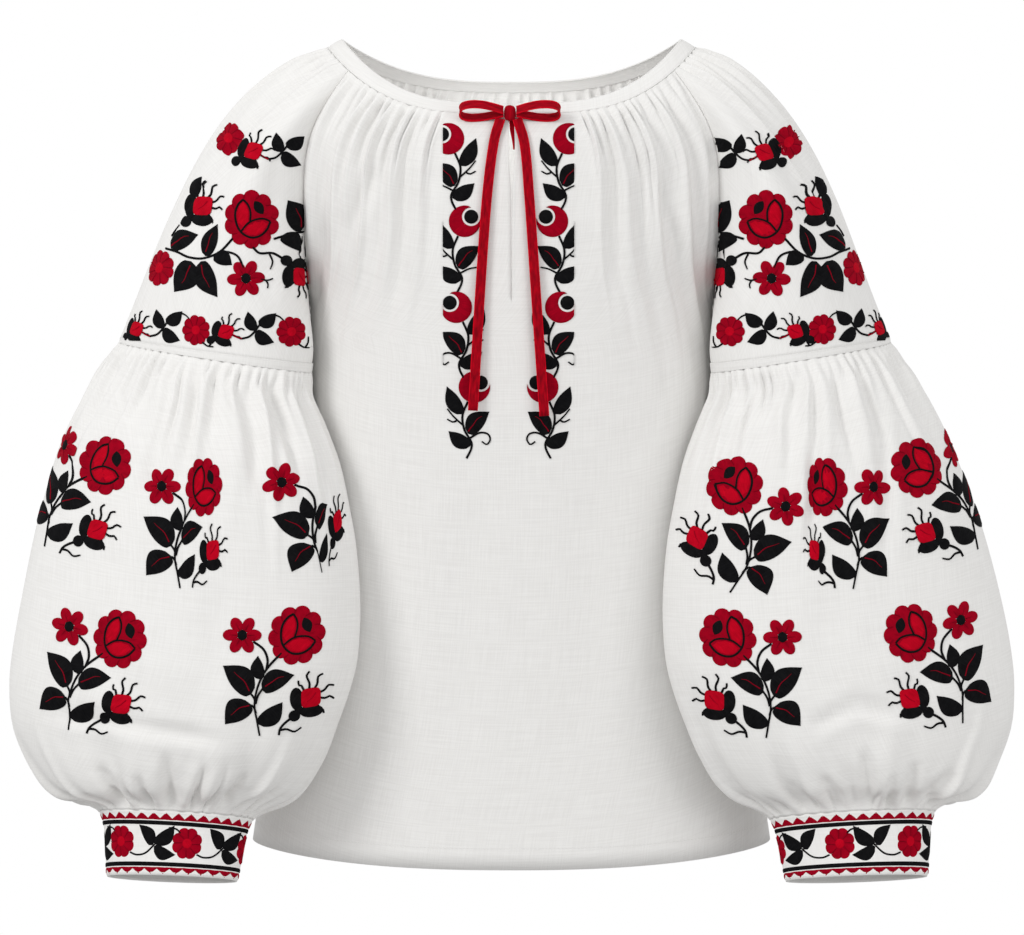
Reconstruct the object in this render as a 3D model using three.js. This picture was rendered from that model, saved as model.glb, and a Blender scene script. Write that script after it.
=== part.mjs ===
import * as THREE from 'three';

// Peasant blouse with full sleeves, filled out and hollow, its front facing -Y.
// Millimetres, +Z up; z = 0 lies just under the shoulder peaks of the neckband.

// ---- driving dimensions ----
const WALL = 1.8; // cloth with its gathers' loft
const BAND_WALL = 2.3; // neckband and cuffs, folded double
const HEM_WALL = 2.6; // turned hem
const HEM_START = 1.964; // panel row where the hem fold starts, 15 mm up
const SEAM = 0.15; // each piece stops this far from its seam line
const ROUND = 2.2; // exponent of the body's rounded sections
const REST_GAP = 3; // sleeve to body where the sleeve rests on it
const HALF_PI = Math.PI / 2;

// Neck opening: [upper edge, lower edge] of the band
const NECK = {
  half: [131, 142.5],
  front: [84.5, 94],
  back: [76, 84],
  peak: [7.4, 0.5],
  dropFront: [52.4, 54],
  dropBack: [29.7, 30.5],
};
const NECK_CORNER = 0.532; // angle on the neck where the raglan seams start
const SLIT = { top: 3.2, middle: 1.8, bottom: 1.0, ends: 0.92 };
const STRIP = 0.36; // flat share of each front half beside the slit

// Raglan seam from the neck (v 0) to the underarm (v 1)
const RAGLAN = {
  v: [0, 0.14, 0.28, 0.42, 0.55, 0.7, 0.85, 0.94, 1],
  x: [124.5, 138, 150, 157, 159, 158.5, 157, 156, 155],
  y: [50, 57, 60, 60, 57, 50, 35, 18, 0],
  z: [-18, -38, -60, -84, -110, -145, -178, -197, -203],
};
// Side seam from the underarm to the hem
const SIDE = {
  z: [-203, -216, -260, -350, -440, -530, -590, -616],
  x: [155, 158, 160, 163, 170, 184, 198, 202],
};
// Half depths of the body rows; v runs on from the raglan to the hem at 2
const DEPTH = {
  v: [0, 0.1, 0.25, 0.5, 0.75, 1, 1.25, 1.5, 1.75, 2],
  front: [94, 98, 101.5, 104, 104, 103, 99, 96, 95, 97],
  back: [84, 88, 92, 95, 96, 95, 92, 90, 90, 92],
};
// How the sleeve head leaves its seam: w runs from the underarm up the front
// raglan (to 0.4), over the shoulder and down the back raglan
const HEAD = {
  w: [0, 0.06, 0.2, 0.4, 0.5],
  x: [16, 0, 90, 218, 300],
  y: [0, 55, 85, 95, 0],
  z: [-40, -60, -85, -100, -98],
};
const HEAD_END = {
  w: [0, 0.25, 0.5],
  x: [12, 40, 100],
  y: [0, 25, 8],
  z: [-50, -190, -232],
};
const RAGLAN_SHARE = 0.4;
// Lower sleeve, elbow (row 0) to cuff (row 12) and wrist (row 13)
const SLEEVE = {
  outX: [303.6, 314.1, 325.3, 346, 358.8, 367.2, 375, 382.6, 384.5, 380.1, 364, 346, 312.5, 305.5],
  outZ: [-227.7, -245.3, -263.7, -302.5, -340.7, -374.9, -416.7, -462.1, -492.2, -522.3, -552.3, -570.1, -581.5, -629.2],
  inX: [152, 152, 142, 129.5, 121.9, 117.1, 114.6, 116.5, 122, 131, 143.5, 162, 195.9, 207.4],
  inZ: [-250.1, -268.5, -290.7, -320.4, -354.5, -384.6, -426, -463.4, -487.9, -513.2, -541.4, -565.9, -586.8, -632.3],
  y: [-30, -34, -38, -45, -53, -60, -68, -76, -82, -88, -94, -98, -104, -116],
  turn: [16, 18, 19, 20, 20, 19, 18, 18, 17, 15, 11, 7, 3, 2],
  depth: [66, 70, 75, 80, 81, 80, 78, 76, 74, 70, 64, 53, 32, 29],
  tilt: [0, 1, 2, 4, 6, 8, 10, 11, 12, 13, 13.5, 14, 14, 14],
};
// The right sleeve lies a little closer in than the left, its cuff further out
const LEAN = { z: [10, -20, -60, -300, -350, -430, -540, -580, -640], x: [0, -3, -11, -8.5, -5, 0, 1.5, 8.5, 8.5] };
const ELBOW_BAND = { mean: 5.75, swing: 1.75 }; // strip height, wider inside

// Gathers: pleats counted over each seam, depth of fold and reach in mm
const GATHERS = {
  front: { count: 10, depth: 2.1, reach: 95 },
  back: { count: 26, depth: 2.1, reach: 80 },
  head: { count: 10, depth: 2.1, reach: 85 },
  elbow: { count: 36, depth: 2.1, reach: 62 },
  cuff: { count: 24, depth: 2.2, reach: 46 },
};

// Ribbon: 7.5 mm velvet tied over the slit
const RIBBON = { width: 7.5, thick: 1.1 };
const KNOT = { x: -1.2, y: -99.3, z: -52.6, w: 9.6, d: 7, h: 11.4 };
const TAILS = {
  left: { x: [-8.4, -13.4, -18.2, -22.6, -29.1], y: [-100.6, -104.2, -106.9, -107.6, -106.4], z: [-57.4, -76, -114, -173, -277] },
  right: { x: [4.3, 9.9, 13.3, 17.4, 24.8], y: [-100.4, -104.2, -106.9, -107.6, -106.4], z: [-57.4, -77, -115, -174, -281] },
};
// One loop of the bow: s out from the knot, q across the loop
const LOOP = {
  s: [0.1, 8.2, 18, 27, 32.6, 34.6, 32.8, 27, 18, 8.2, 0.1],
  q: [1.6, 5.0, 7.6, 7.8, 5.4, 0.6, -4.4, -6.6, -6.2, -3.8, -1.6],
  lean: 0.78,
};

const V = (x, y, z) => new THREE.Vector3(x, y, z);
const clamp = (t, a, b) => Math.min(b, Math.max(a, t));
const smooth = (a, b, t) => {
  const u = clamp((t - a) / (b - a), 0, 1);
  return u * u * (3 - 2 * u);
};

// Smooth curve through the points (xs, ys)
function curve(xs, ys, x) {
  const last = xs.length - 1;
  let i = 0;
  while (i < last - 1 && x > xs[i + 1]) i += 1;
  const slope = (k) => {
    const a = Math.max(k - 1, 0);
    const b = Math.min(k + 1, last);
    return (ys[b] - ys[a]) / (xs[b] - xs[a]);
  };
  const h = xs[i + 1] - xs[i];
  const t = clamp((x - xs[i]) / h, 0, 1);
  const t2 = t * t;
  const t3 = t2 * t;
  return (2 * t3 - 3 * t2 + 1) * ys[i] + (t3 - 2 * t2 + t) * h * slope(i)
    + (3 * t2 - 2 * t3) * ys[i + 1] + (t3 - t2) * h * slope(i + 1);
}

const falling = (table, key, z) => curve(table.z.map((c) => -c), table[key], -z);
const rowNumber = SLEEVE.outX.map((_, i) => i);

// ---- form of the body ----
// Neckline point at angle phi (0 right, front at -90 degrees); k 0 top, 1 low
function neck(phi, k) {
  const c = Math.cos(phi);
  const s = Math.sin(phi);
  const at = (pair) => pair[0] + (pair[1] - pair[0]) * k;
  const fx = Math.sign(c) * Math.abs(c) ** (2 / ROUND);
  const fy = Math.abs(s) ** (2 / ROUND);
  const front = s < 0;
  const share = 1 - Math.abs(fx) ** (front ? 3.3 : 2.8);
  const drop = at(front ? NECK.dropFront : NECK.dropBack) * share;
  return V(at(NECK.half) * fx, (front ? -at(NECK.front) : at(NECK.back)) * fy, at(NECK.peak) - drop);
}

function neckInward(phi) {
  return V(-Math.cos(phi) / 1.4, -Math.sin(phi), -0.9).normalize();
}

// Edge of a body panel on the +X side: raglan for v < 1, side seam after it;
// face -1 is the front, +1 the back
function edge(v, face) {
  if (v >= 1) {
    const z = -203 - 413 * (v - 1);
    return V(falling(SIDE, 'x', z), 0, z);
  }
  const start = neck(face * NECK_CORNER, 1);
  const pull = (1 - v) ** 3;
  return V(
    curve(RAGLAN.v, RAGLAN.x, v) + (start.x - RAGLAN.x[0]) * pull,
    face * (curve(RAGLAN.v, RAGLAN.y, v) + (Math.abs(start.y) - RAGLAN.y[0]) * pull),
    curve(RAGLAN.v, RAGLAN.z, v) + (start.z - RAGLAN.z[0]) * pull,
  );
}

function edgeInward(v, face, side) {
  const top = neckInward(face * NECK_CORNER);
  const neckShare = clamp(1 - v, 0, 1) ** 3;
  const under = v < 1 ? v ** 6 : Math.exp((1 - v) / 0.03);
  const wall = v < 1 ? V(-0.3 * (1 - v), -0.95 * face, 0) : V(-1, 0, 0);
  const n = top.multiplyScalar(neckShare)
    .addScaledVector(wall, Math.max(0, 1 - neckShare - under))
    .addScaledVector(V(0, 0, 1), under)
    .normalize();
  return V(n.x * side, n.y, n.z);
}

// Body row v as a polyline with running length
const rows = new Map();
function bodyRow(v, face) {
  const key = `${v.toFixed(5)} ${face}`;
  if (!rows.has(key)) {
    const e = edge(v, face);
    const b = curve(DEPTH.v, face < 0 ? DEPTH.front : DEPTH.back, v);
    const a = e.x / (1 - (Math.abs(e.y) / b) ** ROUND) ** (1 / ROUND);
    const start = Math.acos(clamp(e.x / a, -1, 1) ** (ROUND / 2));
    const points = [];
    const lengths = [0];
    for (let i = 0; i <= 60; i += 1) {
      const t = HALF_PI - (HALF_PI - start) * (i / 60);
      points.push([a * Math.cos(t) ** (2 / ROUND), b * Math.sin(t) ** (2 / ROUND)]);
      if (i) lengths.push(lengths[i - 1] + Math.hypot(points[i][0] - points[i - 1][0], points[i][1] - points[i - 1][1]));
    }
    rows.set(key, { points, lengths, e });
  }
  return rows.get(key);
}

// Smooth surface of a body panel; s runs -1..1 across, v 0..2 down
function body(s, v, face) {
  const { points, lengths, e } = bodyRow(v, face);
  const want = clamp(Math.abs(s), 0, 1) * lengths[60];
  let i = 0;
  while (i < 59 && lengths[i + 1] < want) i += 1;
  const t = (want - lengths[i]) / (lengths[i + 1] - lengths[i]);
  const x = points[i][0] + (points[i + 1][0] - points[i][0]) * t;
  const y = points[i][1] + (points[i + 1][1] - points[i][1]) * t;
  const part = x / e.x;
  const start = edge(0, face);
  const power = face < 0 ? 3.3 : 2.8;
  const drop = (face < 0 ? NECK.dropFront : NECK.dropBack)[1];
  const dip = NECK.peak[1] - drop * (1 - (part * start.x / NECK.half[1]) ** power) - start.z;
  const fade = clamp(1 - v, 0, 1) ** 2;
  const hem = v > 1 ? -11 * (v - 1) ** 2 * (1 - part ** 2.5) : 0;
  return V(Math.sign(s) * x, face * y, e.z + dip * fade + hem);
}

// Outward direction of a surface at (a, b), turned to face away from `from`
function outward(surface, a, b, from, step = [0.004, 0.004]) {
  const p = surface(a, b);
  const along = surface(a + step[0], b).sub(surface(a - step[0], b));
  const down = surface(a, b + step[1]).sub(surface(a, b - step[1]));
  const n = along.cross(down).normalize();
  return n.dot(p.clone().sub(from)) < 0 ? n.negate() : n;
}

// Depth of the gathers d mm from their seam
function fold(kind, phase, d, lively) {
  const g = GATHERS[kind];
  const reach = g.reach * (0.75 + 0.35 * Math.sin(lively * 2.4) + 0.1 * Math.sin(lively * 5.1));
  return Math.cos(Math.PI * phase) * g.depth * smooth(0, 9, d) * (1 - smooth(8, Math.max(reach, 30), d));
}

// ---- form of the sleeves, drawn for the +X side ----
function lean(z, side) {
  return side > 0 ? falling(LEAN, 'x', z) : 0;
}

function ring(row, angle, side) {
  const at = (key) => curve(rowNumber, SLEEVE[key], row);
  const turn = at('turn');
  const out = V(at('outX') + lean(at('outZ'), side), at('y') + turn, at('outZ'));
  const inner = V(at('inX'), at('y') - turn, at('inZ'));
  const centre = out.clone().add(inner).multiplyScalar(0.5);
  const half = out.sub(centre);
  const tilt = THREE.MathUtils.degToRad(at('tilt'));
  const depth = V(0, -Math.cos(tilt), Math.sin(tilt)).multiplyScalar(at('depth'));
  return {
    centre,
    point: centre.clone().addScaledVector(half, -Math.cos(angle)).addScaledVector(depth, Math.sin(angle)),
  };
}

// Cloth of the sleeve lies on the body instead of passing through it
function restOnBody(p, gap) {
  if (p.z > -190 || gap <= 0) return p;
  const v = 1 + (-203 - p.z) / 413;
  const a = falling(SIDE, 'x', clamp(p.z, -616, -203)) + gap;
  const b = curve(DEPTH.v, p.y < 0 ? DEPTH.front : DEPTH.back, clamp(v, 1, 2)) + gap;
  const r = ((Math.abs(p.x) / a) ** ROUND + (Math.abs(p.y) / b) ** ROUND) ** (1 / ROUND);
  const pushed = (r ** 40 + 1) ** (1 / 40);
  const share = smooth(-190, -215, p.z) * (pushed / r - 1);
  return V(p.x * (1 + share), p.y * (1 + share), p.z);
}

function lowerSleeve(angle, row, side) {
  return restOnBody(ring(row, angle, side).point, REST_GAP);
}

// Seam loop at the sleeve head and the direction into the garment there
function headSeam(w, side) {
  const face = w < 0.5 ? -1 : 1;
  const u = Math.min(w, 1 - w);
  if (u < RAGLAN_SHARE) {
    const v = 1 - u / RAGLAN_SHARE;
    const n = edgeInward(v, face, 1);
    return { p: edge(v, face), n };
  }
  const phi = face * NECK_CORNER * (0.5 - u) / (0.5 - RAGLAN_SHARE);
  return { p: neck(phi, 1), n: neckInward(phi) };
}

function headTangent(table, w) {
  const u = Math.min(w, 1 - w);
  const face = w < 0.5 ? -1 : 1;
  return V(curve(table.w, table.x, u), face * curve(table.w, table.y, u), curve(table.w, table.z, u));
}

function elbowStripTop(angle, side) {
  const height = ELBOW_BAND.mean + ELBOW_BAND.swing * Math.cos(angle);
  const p = ring(0, angle, side).point;
  return restOnBody(p.add(V(-0.15, 0, 0.989).multiplyScalar(height)), REST_GAP);
}

// Upper sleeve; w round the arm, t 0 at the seam loop and 1 at the elbow
function upperSleeve(w, t, side) {
  const a = headSeam(((w % 1) + 1) % 1, side).p;
  const b = elbowStripTop(w * 2 * Math.PI, side);
  const wrapped = ((w % 1) + 1) % 1;
  const m0 = headTangent(HEAD, wrapped);
  m0.x += lean(-100, side) * 2 * Math.sin(Math.PI * wrapped) ** 2;
  const m1 = headTangent(HEAD_END, wrapped);
  const t2 = t * t;
  const t3 = t2 * t;
  const p = a.multiplyScalar(2 * t3 - 3 * t2 + 1)
    .addScaledVector(m0, t3 - 2 * t2 + t)
    .addScaledVector(b, 3 * t2 - 2 * t3)
    .addScaledVector(m1, t3 - t2);
  return restOnBody(p, REST_GAP * smooth(0, 0.3, t));
}

// ---- making closed walls ----
// Joins two rows of samples, whatever their counts, into triangles
function stitch(upper, lower, faces) {
  let i = 0;
  let j = 0;
  while (i < upper.length - 1 || j < lower.length - 1) {
    const nextUp = i < upper.length - 1 ? upper[i + 1].u : Infinity;
    const nextLow = j < lower.length - 1 ? lower[j + 1].u : Infinity;
    if (nextUp <= nextLow) {
      faces.push([upper[i], lower[j], upper[i + 1]]);
      i += 1;
    } else {
      faces.push([upper[i], lower[j], lower[j + 1]]);
      j += 1;
    }
  }
}

// Merges samples at the same place; gives the samples and the index triangles
function weld(faces) {
  const index = new Map();
  const samples = [];
  const id = (sample) => {
    const key = sample.p.toArray().map((c) => Math.round(c * 1e4) + 0).join();
    if (!index.has(key)) index.set(key, samples.push(sample) - 1);
    return index.get(key);
  };
  const sheet = faces.map((f) => f.map(id)).filter(([a, b, c]) => a !== b && b !== c && c !== a);
  return { samples, sheet };
}

// Closed body from a sheet of triangles and the inward offset at each sample
function wall(name, faces) {
  const { samples, sheet } = weld(faces);
  const count = samples.length;
  const used = new Map();
  sheet.forEach((f) => f.forEach((a, k) => used.set(`${a} ${f[(k + 1) % 3]}`, [a, f[(k + 1) % 3]])));
  const all = [];
  sheet.forEach(([a, b, c]) => all.push([a, b, c], [count + c, count + b, count + a]));
  used.forEach(([a, b]) => {
    if (!used.has(`${b} ${a}`)) all.push([b, a, count + a], [b, count + a, count + b]);
  });
  const inner = samples.map(({ p, n }) => p.clone().add(n));
  return solid(name, [...samples.map(({ p }) => p), ...inner], all);
}

function solid(name, points, triangles) {
  const volume = triangles.reduce((sum, [a, b, c]) => (
    sum + points[a].dot(points[b].clone().cross(points[c]))), 0);
  const order = volume < 0 ? triangles.map(([a, b, c]) => [a, c, b]) : triangles;
  const geometry = new THREE.BufferGeometry();
  geometry.setAttribute('position', new THREE.Float32BufferAttribute(points.flatMap((p) => p.toArray()), 3));
  geometry.setIndex(order.flat());
  geometry.computeVertexNormals();
  const mesh = new THREE.Mesh(geometry, new THREE.MeshStandardMaterial());
  mesh.name = name;
  return mesh;
}

// Sheet through rows of sample lists
function sheetOf(rowsOfSamples) {
  const faces = [];
  for (let r = 0; r < rowsOfSamples.length - 1; r += 1) stitch(rowsOfSamples[r], rowsOfSamples[r + 1], faces);
  return faces;
}

const steps = (a, b, n) => Array.from({ length: n + 1 }, (_, i) => a + (b - a) * i / n);

// ---- body panels ----
const RAGLAN_ROWS = [0, 0.025, 0.065, 0.13, 0.23, 0.36, 0.5, 0.64, 0.76, 0.87, 0.94, 1];
const SIDE_ROWS = [1.03, 1.1, 1.22, 1.36, 1.5, 1.64, 1.78, 1.9, HEM_START, 1.966, 2];
const FINE_ROWS = 5; // rows that carry every gather

function slitHalf(v) {
  if (v > SLIT.ends) return 0;
  return curve([0, 0.25, 0.5, SLIT.ends], [SLIT.top, SLIT.middle, SLIT.bottom, SLIT.bottom], v) / 2;
}

// Sample of a body panel: pulled back at its seams, gathered under the neck
function panelSample(s, v, face, phase) {
  const surface = (a, b) => body(a, b, face);
  const inV = v === 0 ? 0.0013 : Math.min(v, 2);
  const atEdge = Math.abs(s) === 1;
  const side = Math.sign(s) || 1;
  const bounded = atEdge ? side * (1 - SEAM / 140) : s;
  const p = surface(bounded, inV);
  let n = outward(surface, clamp(bounded, -0.99, 0.99), clamp(inV, 0.01, 1.99), V(0, 0, p.z)).negate();
  if (atEdge) n = edgeInward(v, face, side);
  else if (v === 0) n = neckInward(face * (HALF_PI - Math.abs(s) * (HALF_PI - NECK_CORNER)));
  if (v === 0 && !atEdge) n.x *= side;
  const d = p.distanceTo(surface(bounded, 0));
  if (phase !== null) p.addScaledVector(n, -fold(face < 0 ? 'front' : 'back', phase, d, phase + 3 * face));
  const thick = v >= 1.966 ? HEM_WALL : WALL;
  return { p, n: n.multiplyScalar(thick) };
}

const allRows = [...RAGLAN_ROWS, ...SIDE_ROWS];

// Half of the front from the slit out to one side
function frontHalf(side) {
  const pleats = 2 * GATHERS.front.count;
  const list = allRows.map((v, r) => {
    const flat = steps(0, STRIP, r < FINE_ROWS ? 4 : 2).map((s) => ({ s, phase: null }));
    const count = r < FINE_ROWS ? pleats : 8;
    const rest = steps(STRIP, 1, count).slice(1).map((s) => ({
      s, phase: r < FINE_ROWS && s < 1 ? (s - STRIP) / (1 - STRIP) * pleats : null,
    }));
    return [...flat, ...rest].map(({ s, phase }) => {
      const sample = panelSample(s * side, v, -1, phase);
      if (s === 0) sample.p.x = side * slitHalf(v);
      return { ...sample, u: s };
    });
  });
  const faces = sheetOf(list);
  return side > 0 ? faces : faces.map(([a, b, c]) => [a, c, b]);
}

function backPanel() {
  const pleats = 2 * GATHERS.back.count;
  const list = allRows.map((v, r) => {
    const count = r < FINE_ROWS ? pleats : 16;
    return steps(-1, 1, count).map((s) => ({
      ...panelSample(s, v, 1, r < FINE_ROWS && Math.abs(s) < 1 ? (s + 1) / 2 * pleats : null), u: s,
    }));
  });
  return sheetOf(list);
}

// ---- sleeves ----
const mirror = (sample, side) => ({
  ...sample, p: V(sample.p.x * side, sample.p.y, sample.p.z), n: V(sample.n.x * side, sample.n.y, sample.n.z),
});

function headColumns() {
  const up = [...RAGLAN_ROWS].reverse().map((v) => (1 - v) * RAGLAN_SHARE);
  const over = steps(RAGLAN_SHARE, 1 - RAGLAN_SHARE, 2 * GATHERS.head.count).slice(1, -1);
  return [...up, ...over, ...up.map((w) => 1 - w).reverse()];
}

function upperSleeveSample(w, t, side) {
  const surface = (a, b) => upperSleeve(a, b, side);
  const seam = headSeam(w, side);
  if (t === 0) {
    const tangent = headTangent(HEAD, w).normalize();
    const under = 1 - smooth(0.03, 0.2, Math.min(w, 1 - w));
    seam.p.addScaledVector(tangent, 2.8 * SEAM).add(V(0.35 * under, 0, 0));
    return { p: seam.p, n: seam.n.multiplyScalar(WALL), u: w };
  }
  const end = 1 - SEAM / 200;
  const p = surface(w, Math.min(t, end));
  const axis = V(190, -30, p.z);
  const n = outward(surface, w, clamp(t, 0.02, 0.98), axis).negate();
  if (t < 0.14) n.lerp(seam.n, 1 - smooth(0, 0.14, t)).normalize();
  if (t === 1) n.copy(stripInward(w * 2 * Math.PI, side));
  const onNeck = clamp((w - RAGLAN_SHARE) / (1 - 2 * RAGLAN_SHARE), 0, 1);
  const phase = onNeck * 2 * GATHERS.head.count;
  if (onNeck > 0 && onNeck < 1 && t < 0.45) {
    const d = t * curve([0, 0.5, 1], [230, 290, 230], onNeck);
    p.addScaledVector(n, -fold('head', phase, d, phase));
  }
  return { p, n: n.multiplyScalar(WALL), u: w };
}

function upperSleeveSheet(side) {
  const fine = [0, 0.02, 0.06, 0.12, 0.2, 0.3];
  const coarse = [0.4, 0.52, 0.64, 0.76, 0.88];
  const columns = headColumns();
  const loose = columns.filter((w) => w <= RAGLAN_SHARE || w >= 1 - RAGLAN_SHARE || Math.round((w - RAGLAN_SHARE) * 100) % 4 === 0);
  const round = (list, t) => list.map((w) => mirror(upperSleeveSample(w, t, side), side));
  return sheetOf([
    ...fine.map((t) => round(columns, t)),
    ...coarse.map((t) => round(loose, t)),
    round(steps(0, 1, 36), 1),
  ]);
}

function stripInward(angle, side) {
  const { centre, point } = ring(0, angle, side);
  return centre.sub(point).setZ(0).normalize();
}

function elbowStripSheet(side) {
  const list = [0, 1].map((k) => steps(0, 2 * Math.PI, 36).map((angle) => {
    const top = elbowStripTop(angle, side);
    const low = restOnBody(ring(0, angle, side).point, REST_GAP);
    const share = k === 0 ? SEAM / 6 : 1 - SEAM / 6;
    const p = top.lerp(low, share).addScaledVector(stripInward(angle, side), -0.2);
    return mirror({ p, n: stripInward(angle, side).multiplyScalar(WALL + 0.4), u: angle }, side);
  }));
  return sheetOf(list);
}

// Sample of the lower sleeve with the gathers of elbow and cuff
function lowerSleeveSample(angle, row, side, kind, pleats) {
  const surface = (a, r) => lowerSleeve(a, r, side);
  const turned = angle / (2 * Math.PI);
  const inRow = clamp(row, SEAM / 18, 12 - SEAM / 30);
  const p = surface(angle, inRow);
  const centre = ring(inRow, angle, side).centre;
  const n = outward(surface, angle, clamp(inRow, 0.03, 11.9), centre, [0.02, 0.03]).negate();
  if (row === 0) n.copy(stripInward(angle, side));
  if (row === 12) n.copy(cuffTopInward(angle, side));
  if (kind) {
    const phase = turned * pleats;
    const seam = surface(angle, kind === 'elbow' ? 0 : 12);
    p.addScaledVector(n, -fold(kind, phase, p.distanceTo(seam), 3 * Math.sin(26 * Math.PI * turned)));
  }
  return { p, n: n.multiplyScalar(WALL), u: turned };
}

function lowerSleeveSheet(side) {
  const elbow = 2 * GATHERS.elbow.count;
  const cuff = 2 * GATHERS.cuff.count;
  const plan = [
    [0, 36, null], [0.25, elbow, 'elbow'], [1, elbow, 'elbow'], [2.1, elbow, 'elbow'],
    [3.3, 30, null], [4.6, 30, null], [5.8, 30, null], [7, 30, null], [8.2, 30, null],
    [9.4, 30, null], [10.4, cuff, 'cuff'], [11.3, cuff, 'cuff'], [11.85, cuff, 'cuff'], [12, 36, null],
  ];
  return sheetOf(plan.map(([row, count, kind]) => steps(0, 2 * Math.PI, count).map((angle) => (
    mirror(lowerSleeveSample(angle, row, side, kind, count), side)))));
}

function cuffInward(angle, row, side) {
  const surface = (a, r) => ring(r, a, side).point;
  return outward(surface, angle, row, ring(row, angle, side).centre, [0.02, 0.03]).negate();
}

function cuffTopInward(angle, side) {
  return cuffInward(angle, 12.3, side).add(V(0, 0, 0.5)).normalize();
}

function cuffSheet(side) {
  const list = [12 + SEAM / 48, 12.08, 12.5, 13].map((row) => steps(0, 2 * Math.PI, 36).map((angle) => {
    const n = row < 12.05 ? cuffTopInward(angle, side) : cuffInward(angle, Math.min(row, 12.97), side);
    return mirror({ p: ring(row, angle, side).point, n: n.multiplyScalar(BAND_WALL), u: angle }, side);
  }));
  return sheetOf(list);
}

// ---- neckband, open at the slit ----
function bandSheet() {
  const gap = 0.012;
  const front = steps(-HALF_PI + gap, -NECK_CORNER, 24);
  const shoulder = steps(-NECK_CORNER, NECK_CORNER, 20).slice(1);
  const rear = steps(NECK_CORNER, Math.PI - NECK_CORNER, 44).slice(1);
  const angles = [...front, ...shoulder, ...rear,
    ...shoulder.map((a) => a + Math.PI), ...steps(Math.PI + NECK_CORNER, 3 * HALF_PI - gap, 24).slice(1)];
  const list = [0, 1 - 0.2 / 12].map((k) => angles.map((phi) => {
    const n = neckInward(phi);
    const p = neck(phi, k).addScaledVector(n, -0.25);
    return { p, n: n.multiplyScalar(BAND_WALL), u: phi };
  }));
  return sheetOf(list);
}

// ---- ribbon ----
// Flat ribbon swept through points with its width along `across`
function ribbon(name, points, acrossAt) {
  const path = new THREE.CatmullRomCurve3(points);
  const count = points.length * 3;
  const list = [];
  for (let i = 0; i <= count; i += 1) {
    const t = i / count;
    const tangent = path.getTangentAt(t);
    const across = acrossAt(t);
    across.addScaledVector(tangent, -across.dot(tangent)).normalize();
    const n = tangent.clone().cross(across).normalize();
    const p = path.getPointAt(t);
    list.push([-1, 1].map((k) => ({
      p: p.clone().addScaledVector(across, k * RIBBON.width / 2).addScaledVector(n, -RIBBON.thick / 2),
      n: n.clone().multiplyScalar(RIBBON.thick),
      u: k,
    })));
  }
  return wall(name, sheetOf(list));
}

function bowLoop(name, side) {
  const leanAxis = V(0, -LOOP.lean, Math.sqrt(1 - LOOP.lean ** 2));
  const start = V(KNOT.x + side * (KNOT.w / 2 + 0.3), KNOT.y - 1.7, KNOT.z + 1.5);
  const points = LOOP.s.map((s, i) => start.clone()
    .add(V(side * s, 0, 0))
    .addScaledVector(leanAxis, LOOP.q[i]));
  return ribbon(name, points, () => V(0, -Math.sqrt(1 - LOOP.lean ** 2), -LOOP.lean));
}

function tail(name, table) {
  const points = table.x.map((x, i) => V(x, table.y[i], table.z[i]));
  return ribbon(name, points, () => V(1, 0, 0));
}

// The end of the ribbon that shows in the slit, lying behind its edges
function innerStrand() {
  const points = steps(0.03, 0.3, 5).map((v) => {
    const p = body(0, v, -1);
    const n = outward((s, t) => body(s, t, -1), 0, v, V(0, 0, p.z)).negate();
    return p.addScaledVector(n, WALL + RIBBON.thick / 2 + 0.5).setX(-1.2 - v);
  });
  return ribbon('ribbon_inner', points, () => V(1, 0, 0));
}

function knot() {
  const sections = steps(-1, 1, 6).map((t) => {
    const swell = Math.sqrt(1 - 0.5 * t * t);
    return steps(0, 2 * Math.PI, 16).map((a, i) => ({
      p: V(
        KNOT.x + KNOT.w / 2 * t,
        KNOT.y + KNOT.d / 2 * swell * Math.sign(Math.cos(a)) * Math.abs(Math.cos(a)) ** 0.7,
        KNOT.z + KNOT.h / 2 * swell * Math.sign(Math.sin(a)) * Math.abs(Math.sin(a)) ** 0.7,
      ),
      u: i,
    }));
  });
  const faces = sheetOf(sections);
  [sections[0], sections[6]].forEach((section, end) => {
    const hub = { p: V(KNOT.x + KNOT.w / 2 * (end ? 1 : -1), KNOT.y, KNOT.z) };
    for (let i = 0; i < 16; i += 1) {
      faces.push(end ? [hub, section[i + 1], section[i]] : [hub, section[i], section[i + 1]]);
    }
  });
  const { samples, sheet } = weld(faces);
  return solid('bow_knot', samples.map(({ p }) => p), sheet);
}

// ---- the blouse ----
const group = new THREE.Group();
group.name = 'embroidered_blouse';
group.add(
  wall('front', [...frontHalf(1), ...frontHalf(-1)]),
  wall('back', backPanel()),
  wall('neckband', bandSheet()),
);
[['left', -1], ['right', 1]].forEach(([label, side]) => {
  group.add(
    wall(`sleeve_upper_${label}`, upperSleeveSheet(side)),
    wall(`elbow_band_${label}`, elbowStripSheet(side)),
    wall(`sleeve_lower_${label}`, lowerSleeveSheet(side)),
    wall(`cuff_${label}`, cuffSheet(side)),
    bowLoop(`bow_loop_${label}`, side),
    tail(`ribbon_tail_${label}`, TAILS[label]),
  );
});
group.add(knot(), innerStrand());

export default group;
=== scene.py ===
import math

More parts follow.
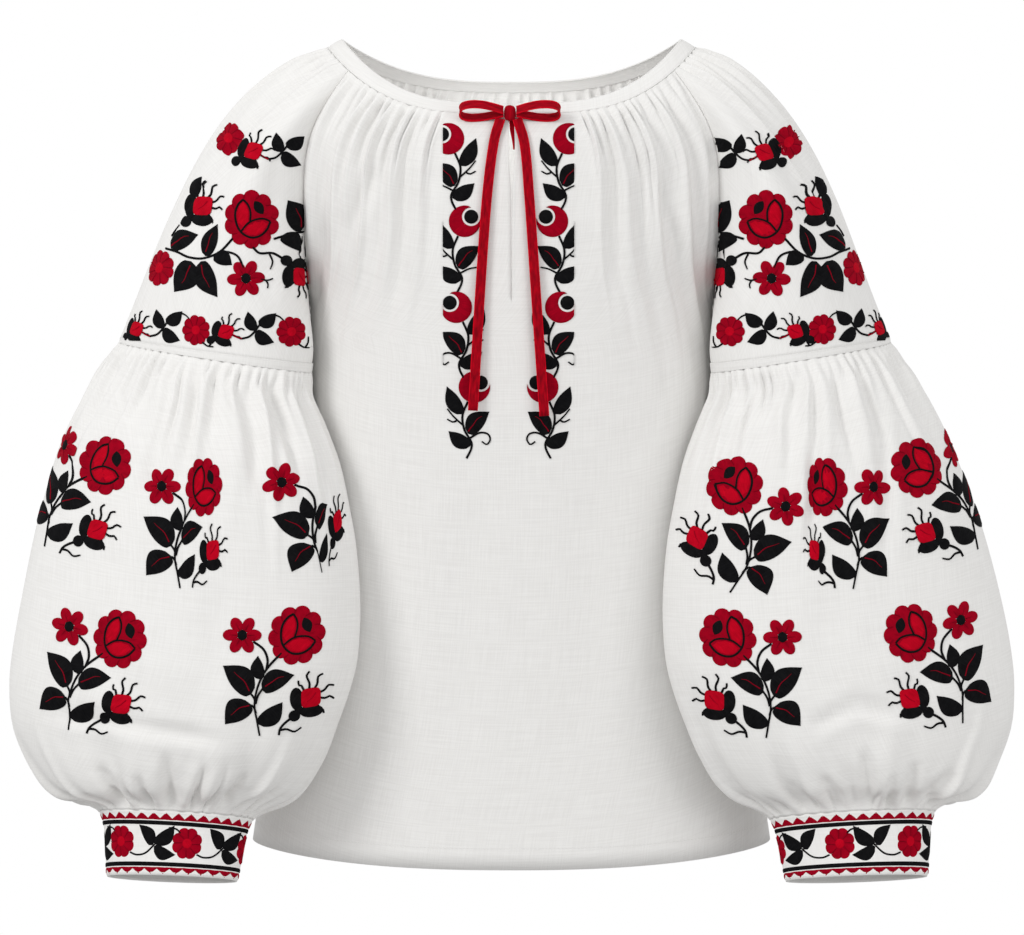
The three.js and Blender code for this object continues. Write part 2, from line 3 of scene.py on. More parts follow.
import bpy
import numpy as np
from mathutils.bvhtree import BVHTree
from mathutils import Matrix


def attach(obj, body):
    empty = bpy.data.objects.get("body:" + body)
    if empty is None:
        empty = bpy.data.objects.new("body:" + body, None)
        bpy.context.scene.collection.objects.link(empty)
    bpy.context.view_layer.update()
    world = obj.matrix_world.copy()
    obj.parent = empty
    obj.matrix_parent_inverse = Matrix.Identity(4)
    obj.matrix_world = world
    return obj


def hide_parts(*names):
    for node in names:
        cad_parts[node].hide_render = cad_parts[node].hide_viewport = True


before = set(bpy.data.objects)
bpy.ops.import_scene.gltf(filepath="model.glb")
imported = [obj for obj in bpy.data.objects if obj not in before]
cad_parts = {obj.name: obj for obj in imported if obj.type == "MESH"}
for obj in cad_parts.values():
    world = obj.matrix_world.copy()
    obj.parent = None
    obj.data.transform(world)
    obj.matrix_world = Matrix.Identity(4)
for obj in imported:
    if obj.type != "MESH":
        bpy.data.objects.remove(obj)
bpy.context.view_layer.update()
scene = bpy.context.scene

# ---- Linen: matt white cloth, plain weave with faint slubs ----
# A plain Principled surface; the weave is drawn along the cloth's own grain
# (UV map "cloth", in millimetres) and only tints and roughens it a little.


def group_nodes(name, inputs, outputs):
    tree = bpy.data.node_groups.new(name, "ShaderNodeTree")
    for label, kind, value in inputs:
        socket = tree.interface.new_socket(label, in_out="INPUT", socket_type=kind)
        if value is not None:
            socket.default_value = value
    for label, kind in outputs:
        tree.interface.new_socket(label, in_out="OUTPUT", socket_type=kind)
    return tree, tree.nodes.new("NodeGroupInput"), tree.nodes.new("NodeGroupOutput")


def add(tree, kind, **values):
    node = tree.nodes.new(kind)
    for key, value in values.items():
        setattr(node, key, value)
    return node


def math_node(tree, operation, a, b):
    node = add(tree, "ShaderNodeMath", operation=operation)
    for socket, value in zip(node.inputs, (a, b)):
        if isinstance(value, (int, float)):
            socket.default_value = value
        else:
            tree.links.new(value, socket)
    return node.outputs[0]


def streaks(tree, coords, across, along, detail=2.0):
    """Noise drawn out into threads: scale per mm across and along them."""
    mapping = add(tree, "ShaderNodeMapping")
    mapping.inputs["Scale"].default_value = (across, along, 1.0)
    tree.links.new(coords, mapping.inputs["Vector"])
    noise = add(tree, "ShaderNodeTexNoise")
    noise.inputs["Scale"].default_value = 1.0
    noise.inputs["Detail"].default_value = detail
    tree.links.new(mapping.outputs[0], noise.inputs["Vector"])
    return noise.outputs["Fac"]


def linen_group():
    tree, start, end = group_nodes(
        "Linen weave",
        [("Grain", "NodeSocketVector", None)],
        [("Tint", "NodeSocketFloat"), ("Height", "NodeSocketFloat")],
    )
    warp = streaks(tree, start.outputs["Grain"], 0.9, 0.035)
    weft = streaks(tree, start.outputs["Grain"], 0.03, 0.8)
    fine = streaks(tree, start.outputs["Grain"], 1.6, 1.6, 1.0)
    both = math_node(tree, "ADD", warp, weft)
    tree.links.new(math_node(tree, "MULTIPLY", both, 0.5), end.inputs["Tint"])
    tree.links.new(math_node(tree, "ADD", both, fine), end.inputs["Height"])
    return tree


def principled(name, colour, roughness):
    material = bpy.data.materials.new(name)
    material.use_nodes = True
    shader = material.node_tree.nodes["Principled BSDF"]
    shader.inputs["Base Color"].default_value = (*colour, 1.0)
    shader.inputs["Roughness"].default_value = roughness
    return material, material.node_tree, shader


def two_tone(tree, factor, dark, light, low, high):
    ramp = add(tree, "ShaderNodeValToRGB")
    ramp.color_ramp.elements[0].position = low
    ramp.color_ramp.elements[0].color = (*dark, 1.0)
    ramp.color_ramp.elements[1].position = high
    ramp.color_ramp.elements[1].color = (*light, 1.0)
    tree.links.new(factor, ramp.inputs["Fac"])
    return ramp.outputs["Color"]


def linen_material():
    material, tree, shader = principled("Linen", (0.8, 0.79, 0.77), 0.88)
    uv = add(tree, "ShaderNodeUVMap", uv_map="cloth")
    weave = add(tree, "ShaderNodeGroup", node_tree=linen_group())
    tree.links.new(uv.outputs[0], weave.inputs["Grain"])
    tint = two_tone(tree, weave.outputs["Tint"], (0.77, 0.76, 0.742), (0.826, 0.818, 0.801), 0.38, 0.62)
    tree.links.new(tint, shader.inputs["Base Color"])
    bump = add(tree, "ShaderNodeBump")
    bump.inputs["Strength"].default_value = 0.25
    bump.inputs["Distance"].default_value = 0.0003
    tree.links.new(weave.outputs["Height"], bump.inputs["Height"])
    tree.links.new(bump.outputs[0], shader.inputs["Normal"])
    shader.inputs["Sheen Weight"].default_value = 0.15
    return material


linen = linen_material()

# ---- Body: front with its slit, and back ----
# Linen, two panels in closed thin shells. Rows run down from the neck seam,
# columns across; gathers and creases are small moves along the smooth form.

ROUND = 2.2
NECK = {
    "half": (131.0, 142.5),
    "front": (84.5, 94.0),
    "back": (76.0, 84.0),
    "peak": (7.4, 0.5),
    "drop_front": (52.4, 54.0),
    "drop_back": (29.7, 30.5),
    "bend_front": 3.3,
    "bend_back": 2.8,
}
CORNER = 0.532
UNDERARM, HEM_EDGE = -203, -616
RAGLAN = {
    "v": (0, 0.14, 0.28, 0.42, 0.55, 0.7, 0.85, 0.94, 1),
    "x": (124.5, 138, 150, 157, 159, 158.5, 157, 156, 155),
    "y": (50, 57, 60, 60, 57, 50, 35, 18, 0),
    "z": (-18, -38, -60, -84, -110, -145, -178, -197, UNDERARM),
}
SIDE = {
    "z": (UNDERARM, -216, -260, -350, -440, -530, -590, HEM_EDGE),
    "x": (155, 158, 160, 163, 170, 184, 198, 202),
}
DEPTH = {
    "v": (0, 0.1, 0.25, 0.5, 0.75, 1, 1.25, 1.5, 1.75, 2),
    "front": (94, 98, 101.5, 104, 104, 103, 99, 96, 95, 97),
    "back": (84, 88, 92, 95, 96, 95, 92, 90, 90, 92),
}
HEM = {"fade": (1.7, 1.95), "step": (1.9635, 1.9655), "proud": 0.5, "stitches": 1.962}
THICK = 0.8
FRONT_GATHERS = (13, 2.7, 100)  # how many on each side, depth and reach in mm
BACK_GATHERS = (30, 2.6, 95)


def curve(xs, ys, x):
    """Smooth curve through the points (xs, ys)."""
    xs, ys = np.asarray(xs, float), np.asarray(ys, float)
    slope = np.empty(len(xs))
    slope[1:-1] = (ys[2:] - ys[:-2]) / (xs[2:] - xs[:-2])
    slope[0] = (ys[1] - ys[0]) / (xs[1] - xs[0])
    slope[-1] = (ys[-1] - ys[-2]) / (xs[-1] - xs[-2])
    x = np.clip(np.asarray(x, float), xs[0], xs[-1])
    i = np.clip(np.searchsorted(xs, x) - 1, 0, len(xs) - 2)
    h = xs[i + 1] - xs[i]
    t = (x - xs[i]) / h
    return (
        (2 * t**3 - 3 * t**2 + 1) * ys[i]
        + (t**3 - 2 * t**2 + t) * h * slope[i]
        + (3 * t**2 - 2 * t**3) * ys[i + 1]
        + (t**3 - t**2) * h * slope[i + 1]
    )


def falling(table, z):
    return curve([-c for c in table["z"]], table["x"], -np.asarray(z, float))


def smooth(a, b, t):
    u = np.clip((t - a) / (b - a), 0, 1)
    return u * u * (3 - 2 * u)


def neck(phi, k):
    """Neckline at angle phi (0 right, front at -90 degrees); k 0 top, 1 low."""
    c, s = np.cos(phi), np.sin(phi)
    at = lambda pair: pair[0] + (pair[1] - pair[0]) * k
    fx = np.sign(c) * np.abs(c) ** (2 / ROUND)
    fy = np.abs(s) ** (2 / ROUND)
    front = s < 0
    share = 1 - np.where(front, np.abs(fx) ** NECK["bend_front"], np.abs(fx) ** NECK["bend_back"])
    drop = np.where(front, at(NECK["drop_front"]), at(NECK["drop_back"])) * share
    y = np.where(front, -at(NECK["front"]), at(NECK["back"])) * fy
    return np.stack([at(NECK["half"]) * fx, y, at(NECK["peak"]) - drop], -1)


def edge(v, face):
    """Edge of a body panel on the +X side: raglan to v 1, then side seam."""
    v = np.asarray(v, float)
    start = neck(face * CORNER, 1)
    up = np.clip(v, 0, 1)
    pull = (1 - up) ** 3
    x = curve(RAGLAN["v"], RAGLAN["x"], up) + (start[0] - RAGLAN["x"][0]) * pull
    y = face * (curve(RAGLAN["v"], RAGLAN["y"], up) + (abs(start[1]) - RAGLAN["y"][0]) * pull)
    z = curve(RAGLAN["v"], RAGLAN["z"], up) + (start[2] - RAGLAN["z"][0]) * pull
    low = UNDERARM - (UNDERARM - HEM_EDGE) * (v - 1)
    side = v >= 1
    place = [np.where(side, falling(SIDE, low), x), np.where(side, 0, y), np.where(side, low, z)]
    return np.stack(place, -1)


def body(s, v, face):
    """Smooth body panel on a grid: s -1..1 across, v 0..2 down."""
    rows = []
    start = edge(0, face)
    power = NECK["bend_front" if face < 0 else "bend_back"]
    drop = NECK["drop_front" if face < 0 else "drop_back"][1]
    edges = edge(v, face)
    depths = curve(DEPTH["v"], DEPTH["front" if face < 0 else "back"], v)
    for vi, e, b in zip(v, edges, depths):
        a = e[0] / (1 - (abs(e[1]) / b) ** ROUND) ** (1 / ROUND)
        begin = math.acos(min(e[0] / a, 1) ** (ROUND / 2))
        t = np.linspace(math.pi / 2, begin, 121)
        px, py = a * np.cos(t) ** (2 / ROUND), b * np.sin(t) ** (2 / ROUND)
        run = np.concatenate([[0], np.cumsum(np.hypot(np.diff(px), np.diff(py)))])
        want = np.abs(s) * run[-1]
        x, y = np.interp(want, run, px), np.interp(want, run, py)
        part = x / e[0]
        dip = NECK["peak"][1] - drop * (1 - (part * start[0] / NECK["half"][1]) ** power) - start[2]
        hem = -11 * (vi - 1) ** 2 * (1 - part**2.5) if vi > 1 else 0
        rows.append(np.stack([np.sign(s) * x, face * y, e[2] + dip * max(0, 1 - vi) ** 2 + hem], -1))
    grid = np.array(rows)
    soften = np.exp(-(((v - 1) / 0.16) ** 2))[1:-1, None, None] * (1 - np.abs(s) ** 10)[None, :, None]
    for _ in range(30):
        grid[1:-1] += soften * ((grid[:-2] + grid[2:]) / 2 - grid[1:-1]) * 0.8
    return grid


def normals_of(grid, centre, wrap=False):
    """Unit normals of a grid of points, facing away from the centre line."""
    if wrap:
        across = np.roll(grid, -1, 1) - np.roll(grid, 1, 1)
    else:
        across = np.gradient(grid, axis=1)
    n = np.cross(across, np.gradient(grid, axis=0))
    n /= np.maximum(np.linalg.norm(n, axis=-1, keepdims=True), 1e-9)
    flip = np.sign(np.sum(n * (grid - centre), axis=(1, 2)))[:, None, None]
    return n * np.where(flip == 0, 1, flip)


def run_down(grid):
    """Distance down each column from the first row, in mm."""
    step = np.linalg.norm(np.diff(grid, axis=0), axis=-1)
    return np.concatenate([np.zeros((1, grid.shape[1])), np.cumsum(step, axis=0)])


def run_across(grid):
    step = np.linalg.norm(np.diff(grid, axis=1), axis=-1)
    return np.concatenate([np.zeros((grid.shape[0], 1)), np.cumsum(step, axis=1)], axis=1)


def wander(seed, count, x, low, high):
    """Smooth values between low and high that change from pleat to pleat."""
    rng = np.random.default_rng(seed)
    knots = rng.uniform(low, high, count + 4)
    t = np.asarray(x) + 1
    i = np.clip(t.astype(int), 0, count + 2)
    f = smooth(0, 1, t - i)
    return knots[i] * (1 - f) + knots[np.clip(i + 1, 0, count + 3)] * f


def gathers(share, d, seed, count, depth, reach):
    """Pleats under a seam: round ridges between sharp valleys, each of its own
    height and length, that open out into wider soft folds below."""
    phase = np.broadcast_to(share * count, d.shape)
    sway = phase + wander(seed, count, phase, -0.3, 0.3) + 0.1 * wander(seed + 5, count, d / 30, -1, 1)
    crest = 2 * np.abs(np.cos(np.pi * sway)) ** 0.75 - 1.25
    wide = np.sin(np.pi * 0.72 * sway + wander(seed + 1, count, phase, -1.5, 1.5))
    tall = wander(seed + 2, count, phase, 0.45, 1.3)
    length = wander(seed + 3, count, phase, 0.4, 1.25) * reach
    near = 0.35 + 0.65 * smooth(0, 9, d)
    narrow = tall * crest * (1 - smooth(0.1, 1.0, d / length))
    soft = 1.15 * wide * smooth(3, 30, d) * (1 - smooth(0.25, 1.0, d / (2.3 * length)))
    return depth * near * (narrow + soft)


def crease(grid, path, width, depth, facing=1.0):
    """A soft trough (depth < 0) or ridge along a line in x and z; facing fades
    it out on cloth that turns away."""
    x, z = grid[..., 0], grid[..., 2]
    best = np.full(x.shape, 1e9)
    along = np.zeros(x.shape)
    path = np.asarray(path, float)
    steps = np.linalg.norm(np.diff(path, axis=0), axis=1)
    total, so_far = steps.sum(), 0.0
    for a, b, length in zip(path[:-1], path[1:], steps):
        t = np.clip(((x - a[0]) * (b[0] - a[0]) + (z - a[1]) * (b[1] - a[1])) / length**2, 0, 1)
        dist = np.hypot(x - a[0] - t * (b[0] - a[0]), z - a[1] - t * (b[1] - a[1]))
        closer = dist < best
        best = np.where(closer, dist, best)
        along = np.where(closer, (so_far + t * length) / total, along)
        so_far += length
    taper = smooth(0, 0.25, along) * (1 - smooth(0.7, 1.0, along))
    shape = np.exp(-((best / width) ** 2)) - 0.35 * np.exp(-(((best - 1.7 * width) / width) ** 2))
    return depth * taper * shape * facing


def quad_mesh(name, vertices, faces):
    mesh = bpy.data.meshes.new(name)
    mesh.vertices.add(len(vertices))
    mesh.vertices.foreach_set("co", vertices.ravel())
    mesh.loops.add(faces.size)
    mesh.loops.foreach_set("vertex_index", faces.ravel())
    mesh.polygons.add(len(faces))
    mesh.polygons.foreach_set("loop_start", np.arange(0, faces.size, faces.shape[1]))
    return mesh


def shell(name, points, normals, quads, thickness, material, grain):
    """Closed thin shell from outer points, quads and UVs in mm."""
    points = points.reshape(-1, 3)
    inner = points - normals.reshape(-1, 3) * thickness
    count = len(points)
    quads = np.asarray(quads)
    pairs = np.stack([quads, np.roll(quads, -1, 1)], -1).reshape(-1, 2)
    code = pairs[:, 0] * count + pairs[:, 1]
    back = pairs[:, 1] * count + pairs[:, 0]
    rim = pairs[~np.isin(code, back)]
    sides = np.stack([rim[:, 1], rim[:, 0], rim[:, 0] + count, rim[:, 1] + count], 1)
    faces = np.concatenate([quads, quads[:, ::-1] + count, sides])
    mesh = quad_mesh(name, np.concatenate([points, inner]) * 0.001, faces)
    mesh.update()
    mesh.validate()
    uv = mesh.uv_layers.new(name="cloth")
    flat = np.concatenate([grain, grain]).reshape(-1, 2)
    uv.data.foreach_set("uv", flat[faces.ravel()].ravel())
    mesh.polygons.foreach_set("use_smooth", np.ones(len(faces), bool))
    mesh.materials.append(material)
    obj = bpy.data.objects.new(name, mesh)
    scene.collection.objects.link(obj)
    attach(obj, "root")
    return obj


def grid_quads(rows, columns, wrap=False, flip=False):
    r, c = np.meshgrid(np.arange(rows - 1), np.arange(columns if wrap else columns - 1), indexing="ij")
    nxt = (c + 1) % columns
    this, below = r * columns, (r + 1) * columns
    quads = np.stack([this + c, below + c, below + nxt, this + nxt], -1).reshape(-1, 4)
    return quads[:, ::-1] if flip else quads


def spaced(stops, counts):
    """Values through the stops, with so many steps between each two."""
    parts = [np.linspace(a, b, n, endpoint=False) for a, b, n in zip(stops[:-1], stops[1:], counts)]
    return np.concatenate([*parts, [stops[-1]]])


def slit_half(v):
    return curve([0, 0.15, 0.3, 0.42, 0.52, SLIT_END], [2.6, 4.4, 5.0, 3.2, 0.6, 0.3], v) / 2


def cloth_sheet(base, normal, points, quads=None, wrap=False, start=0, **more):
    """A cloth grid with its smooth form; the grain runs down from its top row."""
    if quads is None:
        quads = grid_quads(*base.shape[:2], wrap)
    grain = np.stack([run_across(base) - start, -run_down(base)], -1)
    sheet = {"points": points, "smooth": base, "normals": normal, "quads": quads, "grain": grain}
    return {**sheet, "wrap": wrap, **more}


def hung(base, normal, move, v):
    """Outer points of a body panel: its folds die out above the turned hem."""
    kept = (1 - smooth(*HEM["fade"], v))[:, None]
    hem = smooth(*HEM["step"], v)[:, None] * HEM["proud"]
    return base + normal * (move * kept + hem)[..., None]


FLAT_STRIP = 0.36  # share of the front's half width that has no gathers
SLIT_END = 0.92
FRONT_CREASES = [
    # path (x, z) from the front, width, depth in mm
    ([(-99, -81), (-110, -107), (-124, -138), (-130, -164)], 7, -2.6),
    ([(-77, -81), (-79, -146), (-84, -210)], 7, -2.0),
    ([(-60, -84), (-64, -120), (-66, -180)], 6, -1.3),
    ([(-142, -126), (-147, -170), (-149, -210)], 6, -2.2),
    ([(96, -81), (108, -107), (122, -140), (129, -170)], 7, -2.6),
    ([(74, -81), (77, -146), (80, -205)], 7, -2.0),
    ([(142, -126), (147, -170), (149, -214)], 6, -2.2),
    ([(-30, -330), (-36, -450), (-30, -560)], 16, -1.2),
    ([(52, -300), (60, -430), (56, -560)], 18, -1.2),
    ([(-100, -300), (-92, -420), (-98, -560)], 16, -1.0),
]
BACK_CREASES = [
    ([(-60, -120), (-70, -220), (-76, -330)], 12, -2.0),
    ([(20, -110), (24, -220), (20, -340)], 12, -1.6),
    ([(96, -120), (104, -230), (100, -350)], 12, -2.0),
    ([(-20, -360), (-30, -480), (-24, -580)], 20, -1.4),
    ([(70, -380), (84, -480), (88, -580)], 20, -1.4),
]


def front_panel():
    v = spaced([0.0013, 0.12, 0.4, 1, 2], [24, 28, 32, 34])
    half = spaced([0, FLAT_STRIP, 1], [20, 96])
    s = np.concatenate([-half[::-1], half])
    base = body(s, v, -1)
    normal = normals_of(base, base.mean(axis=1, keepdims=True) * [0, 0, 1])
    d = run_down(base)
    share = (np.abs(s) - FLAT_STRIP) / (1 - FLAT_STRIP)
    fade = smooth(0.0, 0.06, share) * (1 - smooth(0.95, 1.0, share))
    left, right = (gathers(np.where(share > 0, share, 0), d, seed, *FRONT_GATHERS) for seed in (11, 31))
    move = np.where(s < 0, left, right) * fade
    for path, width, depth in FRONT_CREASES:
        move = move + crease(base, path, width, depth)
    points = hung(base, normal, move, v)
    columns, middle = len(s), len(half)
    gap = slit_half(v)
    open_rows = v <= SLIT_END
    points[:, middle - 1, 0] = np.where(open_rows, -gap, 0)
    points[:, middle, 0] = np.where(open_rows, gap, 0)
    index = np.arange(len(v) * columns).reshape(len(v), columns)
    closed = np.where(open_rows[:, None], index[:, middle : middle + 1], index[:, middle - 1 : middle])
    index[:, middle : middle + 1] = closed
    quads = np.stack([index[:-1, :-1], index[1:, :-1], index[1:, 1:], index[:-1, 1:]], -1)
    quads = np.delete(quads, middle - 1, axis=1).reshape(-1, 4)
    return cloth_sheet(base, normal, points, quads, start=150, v=v)


def back_panel():
    v = spaced([0.0013, 0.12, 0.4, 1, 2], [18, 18, 20, 34])
    s = np.linspace(-1, 1, 241)
    base = body(s, v, 1)
    normal = normals_of(base, base.mean(axis=1, keepdims=True) * [0, 0, 1])
    d = run_down(base)
    fade = smooth(0, 0.04, 1 - np.abs(s))
    move = gathers((s + 1) / 2, d, 51, *BACK_GATHERS) * fade
    for path, width, depth in BACK_CREASES:
        move = move + crease(base, path, width, depth)
    points = hung(base, normal, move, v)
    return cloth_sheet(base, normal, points, grid_quads(len(v), len(s), flip=True), v=v)


CLOTH = {}  # the finished cloth pieces by the node each stands for


def cloth_piece(name, sheet, node, thickness=THICK):
    obj = shell(name, sheet["points"], sheet["normals"], sheet["quads"], thickness, linen, sheet["grain"])
    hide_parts(node)
    CLOTH[node] = obj


front = front_panel()
back = back_panel()
cloth_piece("front_cloth", front, "front")
cloth_piece("back_cloth", back, "back")

# ---- Sleeves: upper part, topstitched strip and full lower part ----
# Linen tubes. Each starts on the seam loop of the armhole and shoulder, is
# drawn in at the elbow strip, fills out again and is gathered into its cuff.

HEAD = {
    "w": (0, 0.06, 0.2, 0.4, 0.5),
    "x": (16, 0, 90, 218, 300),
    "y": (0, 55, 85, 95, 0),
    "z": (-40, -60, -85, -100, -98),
}
HEAD_END = {"w": (0, 0.25, 0.5), "x": (12, 40, 100), "y": (0, 25, 0), "z": (-50, -190, -232)}
SHARE = 0.4
SLEEVE = {
    "out_x": (303.6, 314.1, 325.3, 346, 358.8, 367.2, 375, 382.6, 384.5, 380.1, 364, 346, 312.5, 305.5),
    "out_z": (-227.7, -245.3, -263.7, -302.5, -340.7, -374.9, -416.7,
              -462.1, -492.2, -522.3, -552.3, -570.1, -581.5, -629.2),
    "in_x": (152, 152, 142, 129.5, 121.9, 117.1, 114.6, 116.5, 122, 131, 143.5, 162, 195.9, 207.4),
    "in_z": (-250.1, -268.5, -290.7, -320.4, -354.5, -384.6, -426,
             -463.4, -487.9, -513.2, -541.4, -565.9, -586.8, -632.3),
    "y": (-30, -34, -38, -45, -53, -60, -68, -76, -82, -88, -94, -98, -104, -116),
    "turn": (16, 18, 19, 20, 20, 19, 18, 18, 17, 15, 11, 7, 3, 2),
    "depth": (66, 70, 75, 80, 81, 80, 78, 76, 74, 70, 64, 53, 32, 29),
    "tilt": (0, 1, 2, 4, 6, 8, 10, 11, 12, 13, 13.5, 14, 14, 14),
}
LEAN = {
    "z": (10, -20, -60, -300, -350, -430, -540, -580, -640),
    "x": (0, -3, -11, -8.5, -5, 0, 1.5, 8.5, 8.5),
}
SIDES = (("left", -1), ("right", 1))
SHOULDER_GATHERS = (13, 2.7, 95)  # how many, depth and reach in mm
ELBOW_GATHERS = (58, 2.4, 66)
CUFF_GATHERS = (30, 2.6, 56)
STRIP_THICK = 1.6


def lean(z, side):
    return falling(LEAN, z) if side > 0 else np.zeros_like(np.asarray(z, float))


def ring(row, angle, side):
    """Points and centre of the sleeve's rings, for the +X side."""
    row, angle = np.broadcast_arrays(np.asarray(row, float), np.asarray(angle, float))
    at = {key: curve(range(len(values)), values, row) for key, values in SLEEVE.items()}
    out = np.stack([at["out_x"] + lean(at["out_z"], side), at["y"] + at["turn"], at["out_z"]], -1)
    inner = np.stack([at["in_x"], at["y"] - at["turn"], at["in_z"]], -1)
    centre, half = (out + inner) / 2, (out - inner) / 2
    tilt = np.radians(at["tilt"])
    depth = np.stack([0 * tilt, -np.cos(tilt), np.sin(tilt)], -1) * at["depth"][..., None]
    return centre, centre - half * np.cos(angle)[..., None] + depth * np.sin(angle)[..., None]


def rest_on_body(p, gap):
    """Sleeve cloth lies on the body instead of passing through it."""
    x, y, z = p[..., 0], p[..., 1], p[..., 2]
    v = np.clip(1 + (UNDERARM - z) / (UNDERARM - HEM_EDGE), 1, 2)
    a = falling(SIDE, np.clip(z, HEM_EDGE, UNDERARM)) + gap
    b = np.where(y < 0, curve(DEPTH["v"], DEPTH["front"], v), curve(DEPTH["v"], DEPTH["back"], v)) + gap
    r = ((np.abs(x) / a) ** ROUND + (np.abs(y) / b) ** ROUND) ** (1 / ROUND)
    pushed = (np.clip(r, 0, 3) ** 40 + 1) ** (1 / 40)
    share = smooth(190, 215, -z) * np.where(r < 3, pushed / r - 1, 0)
    return np.stack([x * (1 + share), y * (1 + share), z], -1)


def strip_top(angle, side):
    height = 5.75 + 1.75 * np.cos(angle)
    point = ring(0, angle, side)[1] + np.array([-0.15, 0, 0.989]) * height[..., None]
    return rest_on_body(point, 3)


def head_seam(w):
    face = np.where(w < 0.5, -1, 1)
    u = np.minimum(w, 1 - w)
    v = 1 - np.minimum(u, SHARE) / SHARE
    raglan = np.where((face < 0)[:, None], edge(v, -1), edge(v, 1))
    phi = face * CORNER * (0.5 - np.maximum(u, SHARE)) / (0.5 - SHARE)
    return np.where((u < SHARE)[:, None], raglan, neck(phi, 1))


def upper_base(w, t, side):
    face, u = np.where(w < 0.5, -1, 1), np.minimum(w, 1 - w)
    a, b = head_seam(w), strip_top(2 * np.pi * w, side)

    def pick(table):
        x, y, z = (curve(table["w"], table[key], u) for key in "xyz")
        return np.stack([x, face * y, z], -1)

    m0, m1 = pick(HEAD), pick(HEAD_END)
    m0[:, 0] += lean(-100, side) * 2 * np.sin(np.pi * w) ** 2
    under = 1 - smooth(0.03, 0.2, u)
    t = t[:, None, None]
    p = (
        a * (2 * t**3 - 3 * t**2 + 1)
        + m0 * (t**3 - 2 * t**2 + t)
        + b * (3 * t**2 - 2 * t**3)
        + m1 * (t**3 - t**2)
    )
    early = (1 - smooth(0, 0.1, t)) * np.stack([0.35 * under, 0 * under, 0 * under], -1)
    return rest_on_body(p + early, 3 * smooth(0, 0.3, t[..., 0]))


def mirrored(sheet, side):
    """The same sheet on its own side; faces keep looking outwards."""
    if side > 0:
        return sheet
    other = {key: sheet[key] * np.array([-1, 1, 1]) for key in ("points", "smooth", "normals")}
    return {**sheet, **other, "quads": sheet["quads"][:, ::-1]}


def creased(move, base, side, creases):
    """Adds a sleeve's creases, faded out on the cloth that faces backwards."""
    world = base * np.array([side, 1, 1])
    facing = smooth(-2, 22, base[..., 1].mean(axis=1, keepdims=True) - base[..., 1])
    for path, width, depth in creases:
        move = move + crease(world, path, width, depth, facing)
    return move


def off_seam(move, turns):
    """Gathers die out beside the underarm seam."""
    return move * smooth(0, 0.01, turns) * (1 - smooth(0.99, 1, turns))


def upper_sleeve(side, creases):
    t = spaced([0, 0.08, 0.3, 1.004], [14, 18, 40])
    w = spaced([0, SHARE, 1 - SHARE, 1], [60, 120, 60])[:-1]
    base = upper_base(w, t, side)
    axis = base.mean(axis=1, keepdims=True)
    normal = normals_of(base, axis, wrap=True)
    d = run_down(base)
    on_neck = np.clip((w - SHARE) / (1 - 2 * SHARE), 0, 1)
    fade = smooth(0, 0.08, on_neck) * (1 - smooth(0.92, 1, on_neck))
    move = gathers(on_neck, d, 71 + side, *SHOULDER_GATHERS) * fade
    move = creased(move, base, side, creases)
    points = base + normal * (move * (1 - smooth(0.93, 1, t))[:, None])[..., None]
    return mirrored(cloth_sheet(base, normal, points, wrap=True), side)


def elbow_strip(side):
    angle = np.linspace(0, 2 * np.pi, 180, endpoint=False)
    top, low = strip_top(angle, side), rest_on_body(ring(0, angle, side)[1], 3)
    share = np.linspace(0, 1, 9)
    base = top[None] + (low - top)[None] * share[:, None, None]
    outward = top - ring(0, angle, side)[0]
    outward[:, 2] = 0
    outward /= np.linalg.norm(outward, axis=-1, keepdims=True)
    normal = np.broadcast_to(outward, base.shape)
    dent = lambda middle: 0.25 * np.exp(-(((share - middle) / 0.07) ** 2))
    swell = 0.35 - dent(0.12) - dent(0.88)
    pucker = 0.12 * np.cos(angle * 64 + 2 * np.sin(angle * 5))
    points = base + normal * (swell[:, None] + pucker[None])[..., None]
    return mirrored(cloth_sheet(base, normal, points, wrap=True), side)


def lower_sleeve(side, creases):
    rows = spaced([0, 1, 3, 9, 11, 12], [14, 16, 24, 16, 18])
    angle = np.linspace(0, 2 * np.pi, 330, endpoint=False)
    centre, base = ring(rows[:, None], angle[None], side)
    base = rest_on_body(base, 3)
    normal = normals_of(base, centre, wrap=True)
    d = run_down(base)
    up = d[-1] - d
    turns = angle / (2 * np.pi)
    move = off_seam(gathers(turns, d, 91 + side, *ELBOW_GATHERS), turns)
    move = move + off_seam(gathers(turns, up, 131 + side, *CUFF_GATHERS), turns)
    points = base + normal * creased(move, base, side, creases)[..., None]
    return mirrored(cloth_sheet(base, normal, points, wrap=True), side)


